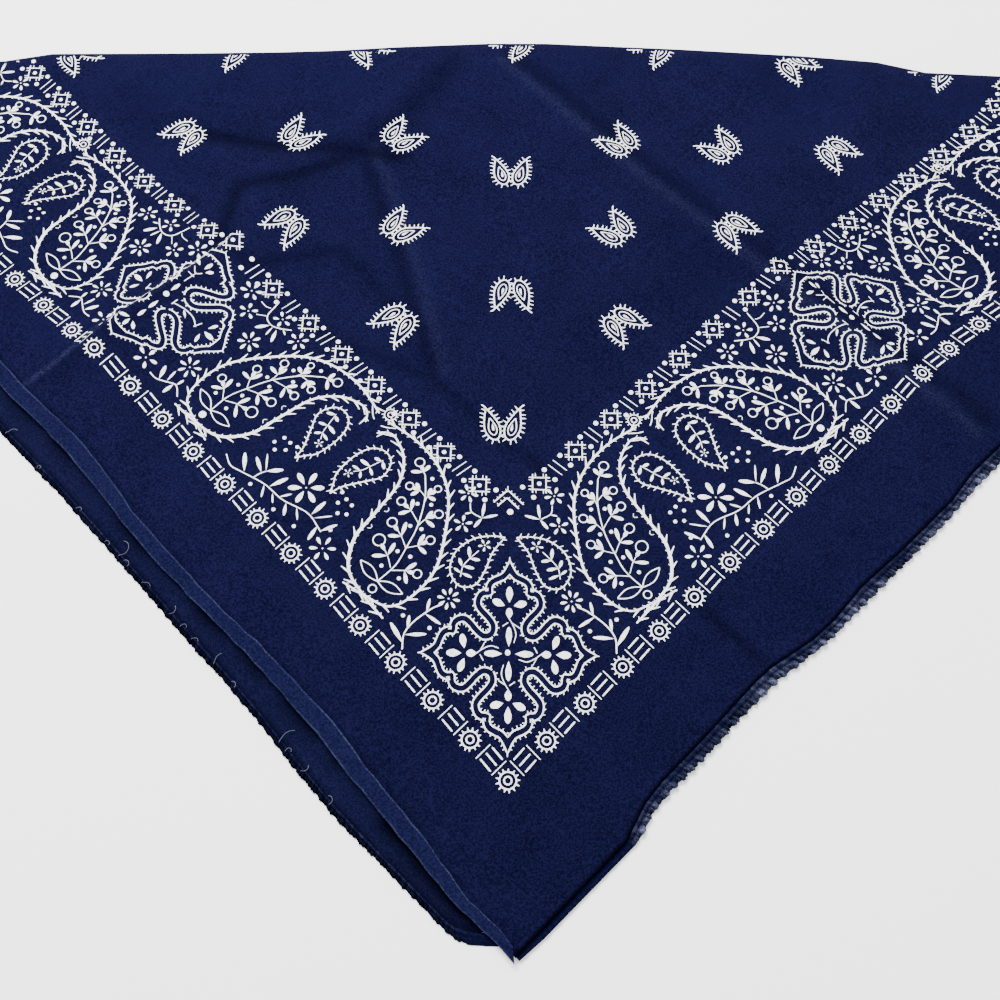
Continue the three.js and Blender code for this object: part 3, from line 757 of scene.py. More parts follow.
def hidden_strip():
    """The same strip on the back layer, flat under the front one."""
    stations = 200
    u = np.linspace(STRIP_START_U, STRIP_END, stations)
    width = BACK_STRIP_WIDTH / REPEAT
    profile = [(0.05, 0.15), (1.0, 0.15), (1.0, 0.95), (0.05, 0.95), (0.0, 0.75), (0.0, 0.35)]
    rings = [at(u + (BACK_STRIP_V + share * width) * 1j, height * MM) for share, height in profile]
    piece = loft("back_right_strip", np.stack(rings, 1), PLAIN)
    give(piece, *np.zeros((2, stations * len(profile))))
    return piece


left_strip = turned_strip()
right_strip = hidden_strip()


# Loose sewing threads along the back layer's hem: v where they lie, and how far they curl
THREAD_PLACES = [
    (1.9, 0.06), (2.7, 0.05), (3.15, 0.05), (3.35, 0.10), (4.7, 0.05), (5.3, 0.07), (5.97, 0.05),
    (6.3, 0.05), (6.65, 0.06), (7.5, 0.05), (7.95, 0.06), (8.25, 0.12), (8.55, 0.05), (9.6, 0.05),
    (10.8, 0.05), (11.9, 0.07),
]
THREAD_RADIUS = 0.11 * MM


def tube(path, radius, sides=5):
    """Rings of a thin round thread along a path of points in metres."""
    tangent = np.gradient(path, axis=0)
    tangent /= np.linalg.norm(tangent, axis=1, keepdims=True)
    across_way = np.cross(tangent, [0, 0, 1])
    across_way /= np.maximum(np.linalg.norm(across_way, axis=1, keepdims=True), 1e-9)
    up_way = np.cross(across_way, tangent)
    turn = 2 * math.pi * np.arange(sides) / sides
    rows = [path + radius * (math.cos(t) * across_way + math.sin(t) * up_way) for t in turn]
    return np.stack(rows, 1)


def loose_threads():
    """Curled ends of sewing thread that lie on the hem and the cloth beside it."""
    points, faces, count = [], [], 0
    for v, curl in THREAD_PLACES:
        t = np.linspace(0, 1, 36)
        start = back_left(v) - 0.09 + v * 1j
        turns = rng.uniform(1.2, 4.6) * (1 if rng.uniform() > 0.5 else -1)
        way = np.exp(1j * rng.uniform(-0.9, 0.9))
        steps = np.exp(1j * turns * t ** 1.5) * way * curl * 4 / len(t)
        place = start + np.cumsum(steps)
        height = 1.5 * MM * (1 - smoothstep(t * 3)) + 1.35 * MM + 0.5 * MM * np.sin(math.pi * t)
        rings = tube(at(place, height), THREAD_RADIUS)
        faces.append(closed_faces(*rings.shape[:2]) + count)
        points.append(rings.reshape(-1, 3))
        count += len(points[-1])
    piece = new_object("loose_threads", np.concatenate(points), np.concatenate(faces), THREAD)
    outward(piece)
    return piece


threads = loose_threads()


# Drawing the print: a drawing is a list of patches, each of places in the cloth and triangles

# Bright print spreads over dark cloth in a picture, so its strokes are drawn this much thinner
INK_SPREAD = 0.013


def fill(outline):
    """Filled shape round its own middle."""
    outline = np.asarray(outline)
    count = len(outline)
    ring = np.arange(count)
    triangles = np.stack([np.full(count, count), ring, (ring + 1) % count], -1)
    return [(np.append(outline, outline.mean()), triangles)]


def resample(path, stations):
    lengths = np.concatenate([[0], np.cumsum(abs(np.diff(path)))])
    return complex_interp(np.asarray(stations) * lengths[-1], lengths, path)


def length_of(path):
    return abs(np.diff(path)).sum()


def curve(*points, step=0.05):
    """Smooth curve through a few places."""
    points = np.array(points, complex)
    row = np.concatenate([[2 * points[0] - points[1]], points, [2 * points[-1] - points[-2]]])
    parts = []
    for a, b, c, d in zip(row[:-3], row[1:-2], row[2:-1], row[3:]):
        t = np.linspace(0, 1, 9)[:-1]
        parts.append(0.5 * (2 * b + (c - a) * t + (2 * a - 5 * b + 4 * c - d) * t ** 2
                            + (3 * b - a - 3 * c + d) * t ** 3))
    path = np.append(np.concatenate(parts), points[-1])
    return resample(path, np.linspace(0, 1, max(3, int(length_of(path) / step) + 1)))


def normals(path):
    tangent = np.gradient(path)
    return 1j * tangent / np.maximum(abs(tangent), 1e-9)


def line(path, width, thin_ends=True, wobble=0.10):
    """Hand-drawn stroke with round ends and a slightly uneven width, or a row of widths."""
    total = length_of(path)
    weight = np.atleast_1d(width) - INK_SPREAD
    count = max(4, len(path))
    s = np.linspace(0, 1, count)
    if thin_ends:
        rounded = np.array([0.12, 0.45]) * weight[0] / max(total, 1e-6)
        s = np.unique(np.clip(np.concatenate([s, rounded, 1 - rounded]), 0, 1))
    points = resample(path, s)
    half = np.interp(s, np.linspace(0, 1, len(weight)), weight) / 2
    if thin_ends:
        near = np.clip(np.minimum(s, 1 - s) * total / half, 0, 1)
        half = half * (0.25 + 0.75 * np.sqrt(near * (2 - near)))
    half = half * (1 + wobble * rng.uniform(-1, 1, len(s)))
    side = normals(points) * half
    count = len(s)
    ring = np.arange(count - 1)
    triangles = np.concatenate([np.stack([ring, ring + 1, ring + count], -1),
                                np.stack([ring + 1, ring + 1 + count, ring + count], -1)])
    return [(np.concatenate([points - side, points + side]), triangles)]


def ticks(path, spacing, length, width, sides=(1,), lean=0.0, taper=0.45):
    """Short tapered strokes off a path, leaning along it by an angle."""
    total = length_of(path)
    count = max(1, int(total / spacing))
    drawing = []
    for side in sides:
        s = (np.arange(count) + 0.5 + 0.12 * rng.uniform(-1, 1, count)) / count
        if len(sides) > 1 and side < 0:
            s = np.clip(s + 0.5 / count, 0, 1)
        roots = resample(path, s)
        normal = complex_interp(s, np.linspace(0, 1, len(path)), normals(path))
        normal = normal / np.maximum(abs(normal), 1e-6)
        direction = side * normal * np.exp(-1j * side * lean)
        tips = roots + direction * length * (1 + 0.15 * rng.uniform(-1, 1, count))
        cross = 1j * direction * (width - INK_SPREAD / 2) / 2
        points = np.concatenate([roots - cross, roots + cross,
                                 tips + taper * cross, tips - taper * cross])
        k = np.arange(count)
        triangles = np.concatenate([np.stack([k, k + count, k + 2 * count], -1),
                                    np.stack([k, k + 2 * count, k + 3 * count], -1)])
        drawing.append((points, triangles))
    return drawing


def drop(base, tip, width, belly=0.62):
    """Petal or leaf from its pointed base to its round tip."""
    turn = np.linspace(0, 2 * math.pi, 13)[:-1]
    along = (1 - np.cos(turn)) / 2
    swell = np.where(along < belly, along / belly, 1.0) ** 0.55
    axis = tip - base
    side = 1j * axis / abs(axis) * np.sin(turn) * swell * (width - INK_SPREAD) / 2
    return fill(base + axis * along + side)


def almond(base, tip, width, stroke=0.035):
    """Outlined leaf, pointed at both ends."""
    turn = np.linspace(0, math.pi, 9)
    axis = tip - base
    along = np.linspace(0, 1, 9)
    side = 1j * axis / abs(axis) * np.sin(turn) * width / 2
    return line(base + axis * along + side, stroke) + line(base + axis * along - side, stroke)


def dot(centre, radius):
    turn = np.linspace(0, 2 * math.pi, 11)[:-1]
    return fill(centre + (radius - INK_SPREAD / 2) * np.exp(1j * turn))


def ring(centre, radius, width, count=18):
    turn = np.linspace(0, 2 * math.pi, count + 1)
    return line(centre + radius * np.exp(1j * turn), width, thin_ends=False, wobble=0.06)


def flower(centre, petals, near, far, width, turn=0.0):
    drawing = dot(centre, 0.022)
    for k in range(petals):
        way = np.exp(1j * (turn + 2 * math.pi * k / petals))
        drawing += drop(centre + near * way, centre + far * way, width)
    return drawing


def placed(drawing, move=0, turn=0.0, scale=1.0, flip=False):
    spin = scale * np.exp(1j * turn)
    return [(move + spin * (np.conj(points) if flip else points), triangles)
            for points, triangles in drawing]


# Motifs

def gear(scale=1.0):
    """White ring with blunt teeth, and a smaller ring round its dark middle."""
    rim = 0.170 * np.exp(1j * np.linspace(0, -2 * math.pi, 43))
    drawing = ring(0, 0.154, 0.042) + ring(0, 0.070, 0.042, 12)
    drawing += ticks(rim, 2 * math.pi * 0.170 / 14, 0.050, 0.040)
    return placed(drawing, scale=scale)


def bar(start, end, width, **ends):
    return line(np.linspace(start, end, 6), width, **ends)


def ladder():
    """Three slanted rungs between two thin bars, which joins each gear to the next."""
    drawing = []
    for side in (-0.205, 0.205):
        drawing += bar(side - 0.18j, side + 0.18j, 0.032)
    for level in (-0.14j, 0.01j, 0.16j):
        drawing += bar(-0.145 + level - 0.01j, 0.145 + level + 0.01j, 0.044)
    return drawing


def fringed_square():
    drawing = dot(0, 0.052)
    corners = 0.19 * np.array([1, 1j, -1, -1j, 1])
    for start, end in zip(corners[:-1], corners[1:]):
        side = np.linspace(start, end, 5)
        past = 0.28 * (end - start)
        drawing += bar(start - past, end + past, 0.037, thin_ends=False)
        drawing += ticks(side[::-1], abs(end - start) / 2, 0.088, 0.031)
    return drawing


def slanted_bars():
    drawing = []
    for side in (-0.068, 0.068):
        drawing += bar(side + 0.018 - 0.18j, side - 0.018 + 0.18j, 0.03)
    return drawing


def small_mark(place, way):
    """Little open angle that points one way."""
    return line(place + 0.07 * way * np.array([-1 + 0.8j, 0, -1 - 0.8j]), 0.026)


def leaves(rows):
    """Leaves from their roots to their tips."""
    drawing = []
    for root, tip, width in rows:
        drawing += drop(root, tip, width, belly=0.5)
    return drawing


def lines(rows):
    """Strokes of one weight, each through a few places."""
    drawing = []
    for width, *places in rows:
        drawing += line(curve(*places), width)
    return drawing


# Large paisley: its two strokes, which leave a fork at the tail
BELLY_STROKE = (3.80 + 0.42j, 4.40 + 0.46j, 4.98 + 0.60j, 5.38 + 1.10j, 5.50 + 1.75j, 5.65 + 2.50j,
                6.00 + 2.95j, 6.45 + 3.14j, 6.66 + 3.08j, 6.78 + 2.93j)
BACK_STROKE = (4.87 + 0.35j, 4.40 + 0.47j, 3.90 + 0.66j, 3.74 + 1.15j, 3.83 + 1.80j, 4.25 + 2.45j,
               4.80 + 3.04j, 5.40 + 3.33j, 6.10 + 3.40j, 6.82 + 3.27j)
BELLY_WEIGHT = (0.05, 0.06, 0.075, 0.07, 0.06, 0.055, 0.045)
BACK_WEIGHT = (0.045, 0.05, 0.06, 0.06, 0.055, 0.05)
STEM = (4.42 + 0.85j, 4.42 + 1.30j, 4.55 + 1.72j, 4.72 + 2.15j, 5.05 + 2.65j, 5.42 + 3.00j)
BRANCHES = [
    # root, elbow, first leaf's tip, second leaf's tip, berry, berry's radius
    (4.42 + 1.15j, 4.22 + 1.35j, 4.17 + 1.62j, 4.00 + 1.20j, 4.00 + 1.48j, 0.085),
    (4.53 + 1.70j, 4.42 + 1.87j, 4.50 + 2.13j, 4.18 + 1.88j, 4.33 + 2.13j, 0.085),
    (4.72 + 2.15j, 4.72 + 2.35j, 4.48 + 2.37j, 4.75 + 2.58j, 4.62 + 2.62j, 0.085),
    (5.00 + 2.60j, 5.05 + 2.72j, 4.88 + 2.78j, 5.13 + 2.90j, 5.03 + 2.98j, 0.070),
    (4.45 + 1.20j, 4.67 + 1.32j, 4.76 + 1.60j, 4.88 + 1.10j, 5.02 + 1.42j, 0.120),
    (4.55 + 1.68j, 4.78 + 1.78j, 4.93 + 2.05j, 4.97 + 1.60j, 5.12 + 1.85j, 0.095),
    (4.75 + 2.20j, 5.05 + 2.28j, 5.20 + 2.48j, 5.17 + 2.05j, 5.33 + 2.28j, 0.085),
    (5.07 + 2.68j, 5.25 + 2.70j, 5.42 + 2.76j, 5.30 + 2.50j, 5.46 + 2.62j, 0.078),
    (5.42 + 3.00j, 5.50 + 3.03j, 5.52 + 3.22j, 5.68 + 2.85j, 5.71 + 3.12j, 0.095),
]
PAISLEY_DOTS = (4.18 + 1.17j, 4.35 + 1.62j, 4.62 + 2.16j, 4.87 + 2.65j, 4.60 + 1.52j, 4.60 + 1.10j,
                4.82 + 2.05j, 5.07 + 2.47j, 5.27 + 3.05j)


def berry_twig():
    """Budding stem that fills a large paisley: branches, leaves, ringed berries and dots."""
    drawing = line(curve(*STEM), 0.036)
    for root, elbow, first, second, berry, size in BRANCHES:
        way = (berry - elbow) / abs(berry - elbow)
        drawing += line(curve(root, elbow, berry - size * way), 0.03)
        drawing += drop(elbow, first, 0.10) + drop(elbow, second, 0.095)
        drawing += ring(berry, size, 0.036, 14)
        drawing += drop(berry - (size + 0.14) * way, berry - 0.75 * size * way, 0.10)
    for place in PAISLEY_DOTS:
        drawing += dot(place, 0.046)
    return drawing


def large_paisley(seed):
    """Thorny paisley whose tail bends along the border and forks."""
    drawing = []
    for places, weight, side in ((BELLY_STROKE, BELLY_WEIGHT, -1), (BACK_STROKE, BACK_WEIGHT, 1)):
        path = curve(*places, step=0.06)
        drawing += line(path, weight)
        drawing += ticks(path, 0.25, 0.2, 0.058, sides=(side,), lean=0.95, taper=0.3)
        drawing += ticks(path, 0.16, 0.07, 0.034, sides=(-side,), lean=0.7)
    drawing += line(curve(6.60 + 3.28j, 6.74 + 3.16j, 6.85 + 3.10j), 0.035)
    drawing += almond(4.42 + 0.84j, 3.90 + 1.01j, 0.19) + almond(4.42 + 0.84j, 4.96 + 0.89j, 0.19)
    drawing += seed(4.38 + 0.67j)
    drawing += small_mark(5.30 + 1.48j, -1) + small_mark(5.33 + 1.95j, -1)
    return drawing + berry_twig()


def open_seed(place):
    return ring(place, 0.08, 0.036, 12)


def solid_seed(place):
    return dot(place, 0.085)


def ticked_outline(*places):
    """Closed outline from its tip round to its tip, clockwise, with ticks on both sides."""
    path = curve(*places, places[0], step=0.045)
    drawing = line(path, 0.038, thin_ends=False) + ticks(path, 0.130, 0.085, 0.034, lean=0.5)
    return drawing + ticks(path, 0.130, 0.045, 0.03, sides=(-1,), lean=0.5)


def ticked_paisley():
    """Small paisley under a large one's tail, tip toward the gears."""
    drawing = ticked_outline(6.42 + 1.38j, 6.36 + 1.65j, 6.14 + 2.05j, 5.98 + 2.37j, 6.10 + 2.70j,
                             6.36 + 2.78j, 6.60 + 2.62j, 6.70 + 2.25j, 6.66 + 1.78j, 6.54 + 1.58j)
    drawing += lines([(0.028, 6.24 + 2.62j, 6.30 + 2.40j, 6.36 + 2.18j, 6.46 + 2.02j)])
    drawing += leaves([
        (6.24 + 2.60j, 6.08 + 2.50j, 0.085), (6.25 + 2.58j, 6.40 + 2.53j, 0.085),
        (6.31 + 2.34j, 6.56 + 2.30j, 0.09), (6.31 + 2.32j, 6.14 + 2.24j, 0.075),
        (6.37 + 2.14j, 6.26 + 2.02j, 0.07), (6.38 + 2.14j, 6.57 + 2.10j, 0.07),
    ])
    return drawing + flower(6.51 + 1.93j, 5, 0.03, 0.095, 0.045)


def leaf_paisley():
    """Plump paisley beside the corner flower, tip toward the field."""
    drawing = ticked_outline(3.38 + 3.22j, 3.60 + 3.03j, 3.79 + 2.72j, 3.82 + 2.32j, 3.62 + 1.98j,
                             3.27 + 1.89j, 3.07 + 2.12j, 3.15 + 2.46j, 3.32 + 2.83j)
    drawing += lines([(0.03, 3.53 + 2.66j, 3.53 + 2.40j, 3.50 + 2.20j, 3.38 + 2.03j)])
    drawing += leaves([
        (3.53 + 2.42j, 3.37 + 2.54j, 0.08), (3.53 + 2.42j, 3.72 + 2.58j, 0.085),
        (3.51 + 2.22j, 3.32 + 2.34j, 0.08), (3.52 + 2.20j, 3.68 + 2.28j, 0.08),
        (3.43 + 2.10j, 3.22 + 2.18j, 0.07), (3.44 + 2.09j, 3.60 + 2.07j, 0.065),
    ])
    return drawing + flower(3.53 + 2.82j, 5, 0.035, 0.13, 0.06, turn=1.57)


# Half of one lobe of the corner flower, from the notch on its own axis to its point's diagonal
HALF_LOBE = (0.5j, 0.13 + 0.57j, 0.165 + 0.74j, 0.16 + 0.94j, 0.19 + 1.09j, 0.33 + 1.17j,
             0.45 + 1.14j, 0.49 + 1.06j, 0.55 + 1.14j, 0.66 + 1.19j, 0.80 + 1.15j, 0.93 + 1.10j,
             1.10 + 1.12j)
BAND = 0.065
HORN = 1.24 + 1.24j
HORN_INSIDE = 1.04 + 1.04j


# The same for the flowers at the middles of the sides, whose points lie on the border's lines
SIDE_HALF_LOBE = (-0.29 + 0.29j, -0.23 + 0.40j, -0.28 + 0.54j, -0.48 + 0.70j, -0.67 + 0.84j,
                  -0.73 + 1.00j, -0.61 + 1.12j, -0.49 + 1.13j, -0.49 + 1.22j, -0.30 + 1.32j,
                  -0.07 + 1.50j)
SIDE_HORN = 1.62j
SIDE_HORN_INSIDE = 1.36j


def lobed_outline(half_lobe, horn, horn_inside):
    """Band between two ticked lines round four lobes, drawn out to a horn at each point."""
    half = curve(-np.conj(half_lobe[1]), *half_lobe, step=0.05)
    half = half[half.real > -0.01]
    drawing = []
    for side, tip, drop_last in ((1, horn, 1), (-1, horn_inside, 3)):
        path = (half + side * BAND * normals(half))[:-drop_last]
        lobe = np.concatenate([path, [tip], 1j * np.conj(path[::-1])])
        for k in range(4):
            turned = lobe * 1j ** k
            drawing += line(turned, 0.042, thin_ends=False)
            drawing += ticks(turned, 0.096, 0.058, 0.034, sides=(side,))
    return drawing


def corner_flower():
    """Four lobes on the diagonals, each with a spray of leaves round a fat petal."""
    drawing = lobed_outline(HALF_LOBE, HORN, HORN_INSIDE) + dot(0.03j, 0.06)
    for k in range(4):
        axis = np.exp(1j * (math.pi / 4 + k * math.pi / 2))
        spray = [(0.94, 1.24, 0.155), (0.88 + 0.09j, 0.98 + 0.34j, 0.15),
                 (0.88 - 0.09j, 0.94 - 0.35j, 0.15), (0.63, 0.84, 0.15), (0.13, 0.49, 0.135)]
        drawing += leaves([(axis * root, axis * tip, width) for root, tip, width in spray])
        arms = [(0.20 - 0.10j, 0.36 - 0.14j, 0.52 - 0.08j, 0.64), (0.50 + 0.13j, 0.57 + 0.02j),
                (0.48 - 0.20j, 0.56 - 0.06j)]
        drawing += lines([(0.03, *(axis * np.array(arm))) for arm in arms])
    return [(points + 0.06 * (points.imag + 1j * points.real), faces) for points, faces in drawing]


def side_flower():
    """The same outline turned to the border's own line, with a stem up the middle."""
    spin = np.exp(-0.25j * math.pi)
    outline = lobed_outline([place * spin for place in SIDE_HALF_LOBE], SIDE_HORN * spin,
                            SIDE_HORN_INSIDE * spin)
    drawing = [(points.real + 1j * points.imag * np.where(points.imag < 0, 0.87, 0.97), faces)
               for points, faces in placed(outline, turn=math.pi / 4)]
    drawing += dot(0, 0.068)
    drawing += lines([
        (0.03, 0.47j, 0.77j), (0.03, -0.13 + 0.69j, 0.04 + 0.69j),
        (0.03, -0.15 + 0.88j, -0.01 + 0.77j, 0.07 + 0.88j),
    ])
    drawing += leaves([
        (0.12j, 0.36j, 0.09), (0.02 - 0.22j, 0.02 - 0.48j, 0.08), (0.02 - 0.54j, 0.02 - 0.76j, 0.08),
        (-0.10 + 0.97j, -0.27 + 1.04j, 0.09), (0.02 + 0.98j, 0.02 + 1.20j, 0.09),
        (0.09 + 0.94j, 0.18 + 1.08j, 0.09), (-0.06 - 0.90j, -0.27 - 1.00j, 0.09),
        (-0.02 - 0.92j, -0.02 - 1.12j, 0.09), (0.05 - 0.91j, 0.18 - 1.03j, 0.09),
    ])
    for side in (1, -1):
        wing = lines([
            (0.034, -0.84 - 0.04j, -0.67 + 0.06j, -0.45 + 0.06j, -0.23 - 0.02j),
            (0.03, -0.86 + 0.11j, -0.81 - 0.07j), (0.03, -0.22 + 0.09j, -0.22 - 0.07j),
        ])
        wing += leaves([
            (-0.59 - 0.07j, -0.45 + 0.03j, 0.06), (-1.02 + 0.02j, -1.29 + 0.02j, 0.12),
            (-1.02 + 0.12j, -1.10 + 0.32j, 0.085), (-1.00 - 0.08j, -1.08 - 0.28j, 0.085),
        ])
        drawing += wing if side > 0 else [(-np.conj(points), faces) for points, faces in wing]
    return drawing


def teardrop(low, tip, width, count=30, belly=0.3):
    """Closed outline, round at one end and pointed at the other."""
    turn = np.linspace(0, 2 * math.pi, count + 1)
    along = (1 + np.cos(turn)) / 2
    swell = np.where(along < belly, np.sqrt(np.clip(1 - (1 - along / belly) ** 2, 0, 1)),
                     1 - np.clip((along - belly) / (1 - belly), 0, 1) ** 1.45)
    axis = tip - low
    return low + axis * along + 1j * axis / abs(axis) * np.sign(np.sin(turn)) * swell * width / 2


def field_pair():
    """Two small paisleys side by side, tips up and splayed."""
    drawing = []
    for side in (1, -1):
        rim = teardrop(side * 0.125 - 0.36j, side * 0.345 + 0.35j, 0.315, belly=0.38)
        drawing += line(rim, 0.042, thin_ends=False)
        hook = np.array([side * 0.33 + 0.31j, side * 0.37 + 0.39j, side * 0.44 + 0.43j])
        drawing += line(hook, 0.042)
        drawing += ticks(rim, 0.092, 0.095, 0.040, sides=(-1,), lean=-0.15)
        inner = teardrop(side * 0.158 - 0.255j, side * 0.265 + 0.13j, 0.165, 22, belly=0.38)
        drawing += line(inner, 0.036, thin_ends=False)
        drawing += fill(teardrop(side * 0.178 - 0.16j, side * 0.208 + 0.01j, 0.050, 12)[:-1])
    return drawing


# Layout of one eighth of the print, from the corner to the middle of the right side

SQUARE_PLACES = (4.53, 5.55, 6.58, 7.62, 8.65, 9.70, 10.85)
MIDDLE_SQUARE = 11.88
INNER_LINE = 3.75
FELLOW_INNER_LINE = 3.63
MIDDLE = 12.0
PAISLEY_MIRROR = 6.95
CORNER_FLOWER = 1.64 + 1.66j
SIDE_FLOWER = MIDDLE + 1.89j

SMALL_FLOWERS = [
    # place, petals, near, far, petal width, turn
    (3.22 + 1.57j, 8, 0.08, 0.22, 0.075, 0.2), (4.55 + 3.35j, 6, 0.06, 0.20, 0.08, 0.5),
    (4.15 + 2.82j, 5, 0.05, 0.19, 0.08, 0.9), (5.65 + 0.52j, 6, 0.09, 0.26, 0.085, 0.3),
    (6.83 + 1.12j, 6, 0.08, 0.36, 0.13, 0.25), (9.50 + 3.17j, 6, 0.08, 0.22, 0.09, 0.1),
    (10.14 + 3.29j, 5, 0.07, 0.20, 0.085, 0.6), (11.10 + 3.28j, 6, 0.08, 0.22, 0.09, 0.4),
    (10.77 + 2.90j, 5, 0.07, 0.20, 0.085, 1.0), (10.19 + 2.43j, 7, 0.08, 0.24, 0.085, 0.2),
    (10.53 + 1.16j, 7, 0.08, 0.24, 0.075, 0.7), (11.25 + 0.65j, 5, 0.08, 0.23, 0.09, 0.3),
]
DOTS = (3.05 + 0.92j, 3.58 + 0.73j, 6.38 + 0.42j, 6.92 + 0.36j, 7.65 + 0.38j, 5.83 + 0.88j)
DOT_CLUSTER = (5.93 + 1.52j, 6.10 + 1.53j, 6.27 + 1.57j, 5.86 + 1.32j, 6.16 + 1.36j, 6.00 + 1.21j)

# Sprigs: stems and twigs with their weight, then leaves from root to tip with their width
SPRIG_LINES = [
    (0.036, 5.93 + 0.72j, 6.40 + 0.79j, 6.95 + 0.62j, 7.45 + 0.58j, 8.00 + 0.42j, 8.25 + 0.36j,
     8.50 + 0.46j),
    (0.036, 7.72 + 0.50j, 7.70 + 0.65j, 7.65 + 0.78j),
    (0.04, 3.10 + 0.27j, 3.30 + 0.50j, 3.35 + 0.80j, 3.30 + 1.20j, 3.22 + 1.42j),
    (0.034, 4.00 + 3.17j, 4.22 + 3.12j, 4.37 + 3.23j),
    (0.036, 9.80 + 3.25j, 10.00 + 3.10j, 10.20 + 3.02j, 10.42 + 3.12j, 10.52 + 3.52j),
    (0.03, 10.52 + 3.30j, 10.62 + 3.25j, 10.78 + 3.26j), (0.03, 10.43 + 3.10j, 10.60 + 2.97j),
    (0.036, 10.18 + 0.55j, 10.40 + 0.70j, 10.60 + 0.60j, 10.80 + 0.50j, 10.98 + 0.50j),
]
SPRIG_LEAVES = [
    (5.95 + 0.72j, 5.82 + 1.05j, 0.08), (6.07 + 0.75j, 5.98 + 0.43j, 0.09),
    (6.25 + 0.80j, 6.02 + 1.10j, 0.045), (6.33 + 0.82j, 6.34 + 1.20j, 0.1),
    (6.65 + 0.72j, 6.43 + 0.55j, 0.05), (6.85 + 0.62j, 6.68 + 0.42j, 0.08),
    (7.05 + 0.60j, 6.92 + 0.83j, 0.055), (7.20 + 0.57j, 7.03 + 0.43j, 0.05),
    (7.35 + 0.62j, 7.23 + 1.00j, 0.1), (7.45 + 0.57j, 7.28 + 0.35j, 0.055),
    (7.65 + 0.78j, 7.43 + 1.05j, 0.1), (7.65 + 0.78j, 7.93 + 1.05j, 0.05),
    (7.70 + 0.70j, 8.03 + 0.85j, 0.09), (7.95 + 0.47j, 8.27 + 0.75j, 0.1),
    (3.98 + 3.18j, 3.82 + 3.45j, 0.07), (3.98 + 3.18j, 4.18 + 3.44j, 0.075),
    (3.98 + 3.18j, 3.95 + 2.93j, 0.08), (4.20 + 3.12j, 4.28 + 3.00j, 0.05),
    (3.18 + 0.36j, 3.65 + 0.47j, 0.1), (3.28 + 0.50j, 3.00 + 0.80j, 0.085),
    (3.34 + 0.62j, 3.50 + 0.82j, 0.075), (3.32 + 1.05j, 2.95 + 1.12j, 0.075),
    (3.31 + 1.08j, 3.47 + 1.32j, 0.07),
    (10.02 + 3.02j, 9.87 + 2.75j, 0.09), (10.13 + 3.02j, 10.08 + 2.78j, 0.05),
    (10.20 + 3.00j, 10.37 + 2.74j, 0.09), (9.95 + 3.14j, 9.80 + 3.07j, 0.05),
    (10.40 + 0.70j, 10.38 + 0.89j, 0.065), (10.45 + 0.68j, 10.46 + 0.40j, 0.09),
    (10.60 + 0.62j, 10.65 + 0.90j, 0.06), (10.74 + 0.54j, 10.88 + 0.83j, 0.1),
]


def mirrored(drawing):
    """The drawing as it stands on the other side of the large paisleys' meeting line."""
    return placed(drawing, 2 * PAISLEY_MIRROR, turn=math.pi, flip=True)


def inner_row(inner_line):
    """Fringed squares, bars and dots along the inside of the border."""
    drawing = []
    for place in SQUARE_PLACES:
        drawing += placed(fringed_square(), place + inner_line * 1j)
    places = SQUARE_PLACES + (MIDDLE_SQUARE,)
    for low, high in zip(places[:-1], places[1:]):
        drawing += placed(slanted_bars(), (low + high) / 2 + inner_line * 1j)
        for place in (low + 0.29, high - 0.29):
            for side in (0.15, -0.15):
                drawing += dot(place + (inner_line + side) * 1j, 0.058)
    for side in (0.17, -0.14):
        drawing += dot(4.23 + (inner_line + side) * 1j, 0.058)
    return drawing


def eighth(inner_line=INNER_LINE):
    """One eighth of the border, from the corner's diagonal to the middle of a side."""
    drawing = []
    for k in range(1, 12):
        drawing += placed(gear(), k + 0.02j, turn=0.3 * k)
    for k in range(12):
        drawing += placed(ladder(), k + 0.475 + 0.04j)
    drawing += inner_row(inner_line)
    drawing += large_paisley(open_seed) + mirrored(large_paisley(solid_seed))
    drawing += ticked_paisley() + mirrored(ticked_paisley())
    drawing += leaf_paisley()
    drawing += placed(gear(0.8), 6.9 + 3.41j)
    for place, petals, near, far, width, turn in SMALL_FLOWERS:
        drawing += flower(place, petals, near, far, width, turn)
    for place in DOTS + DOT_CLUSTER:
        drawing += dot(place, 0.046)
    for place in DOT_CLUSTER:
        drawing += dot(2 * PAISLEY_MIRROR - np.conj(place), 0.046)
    return drawing + lines(SPRIG_LINES) + leaves(SPRIG_LEAVES)


def corner_piece():
    """What lies on the corner's own diagonal."""
    drawing = placed(gear(), 0.0)
    drawing += placed(corner_flower(), CORNER_FLOWER)
    for out, start in ((4.07, 3.58), (3.96, 3.58)):
        tip = out - 0.10 if out > 4 else out - 0.12
        path = resample(np.array([start + out * 1j, tip + out * 1j, tip + (start + 0.05) * 1j]),
                        np.linspace(0, 1, 15))
        drawing += line(path, 0.042) + ticks(path, 0.08, 0.05, 0.028)
    drawing += lines([(0.03, 3.97 + 4.07j, 4.03 + 4.13j)])
    drawing += dot(3.67 + 3.70j, 0.07)
    return drawing


def side_piece():
    """What lies on the middle line of a side."""
    drawing = placed(gear(), MIDDLE + 0.02j)
    drawing += placed(fringed_square(), MIDDLE_SQUARE + (INNER_LINE + 0.03) * 1j)
    return drawing + placed(side_flower(), SIDE_FLOWER)


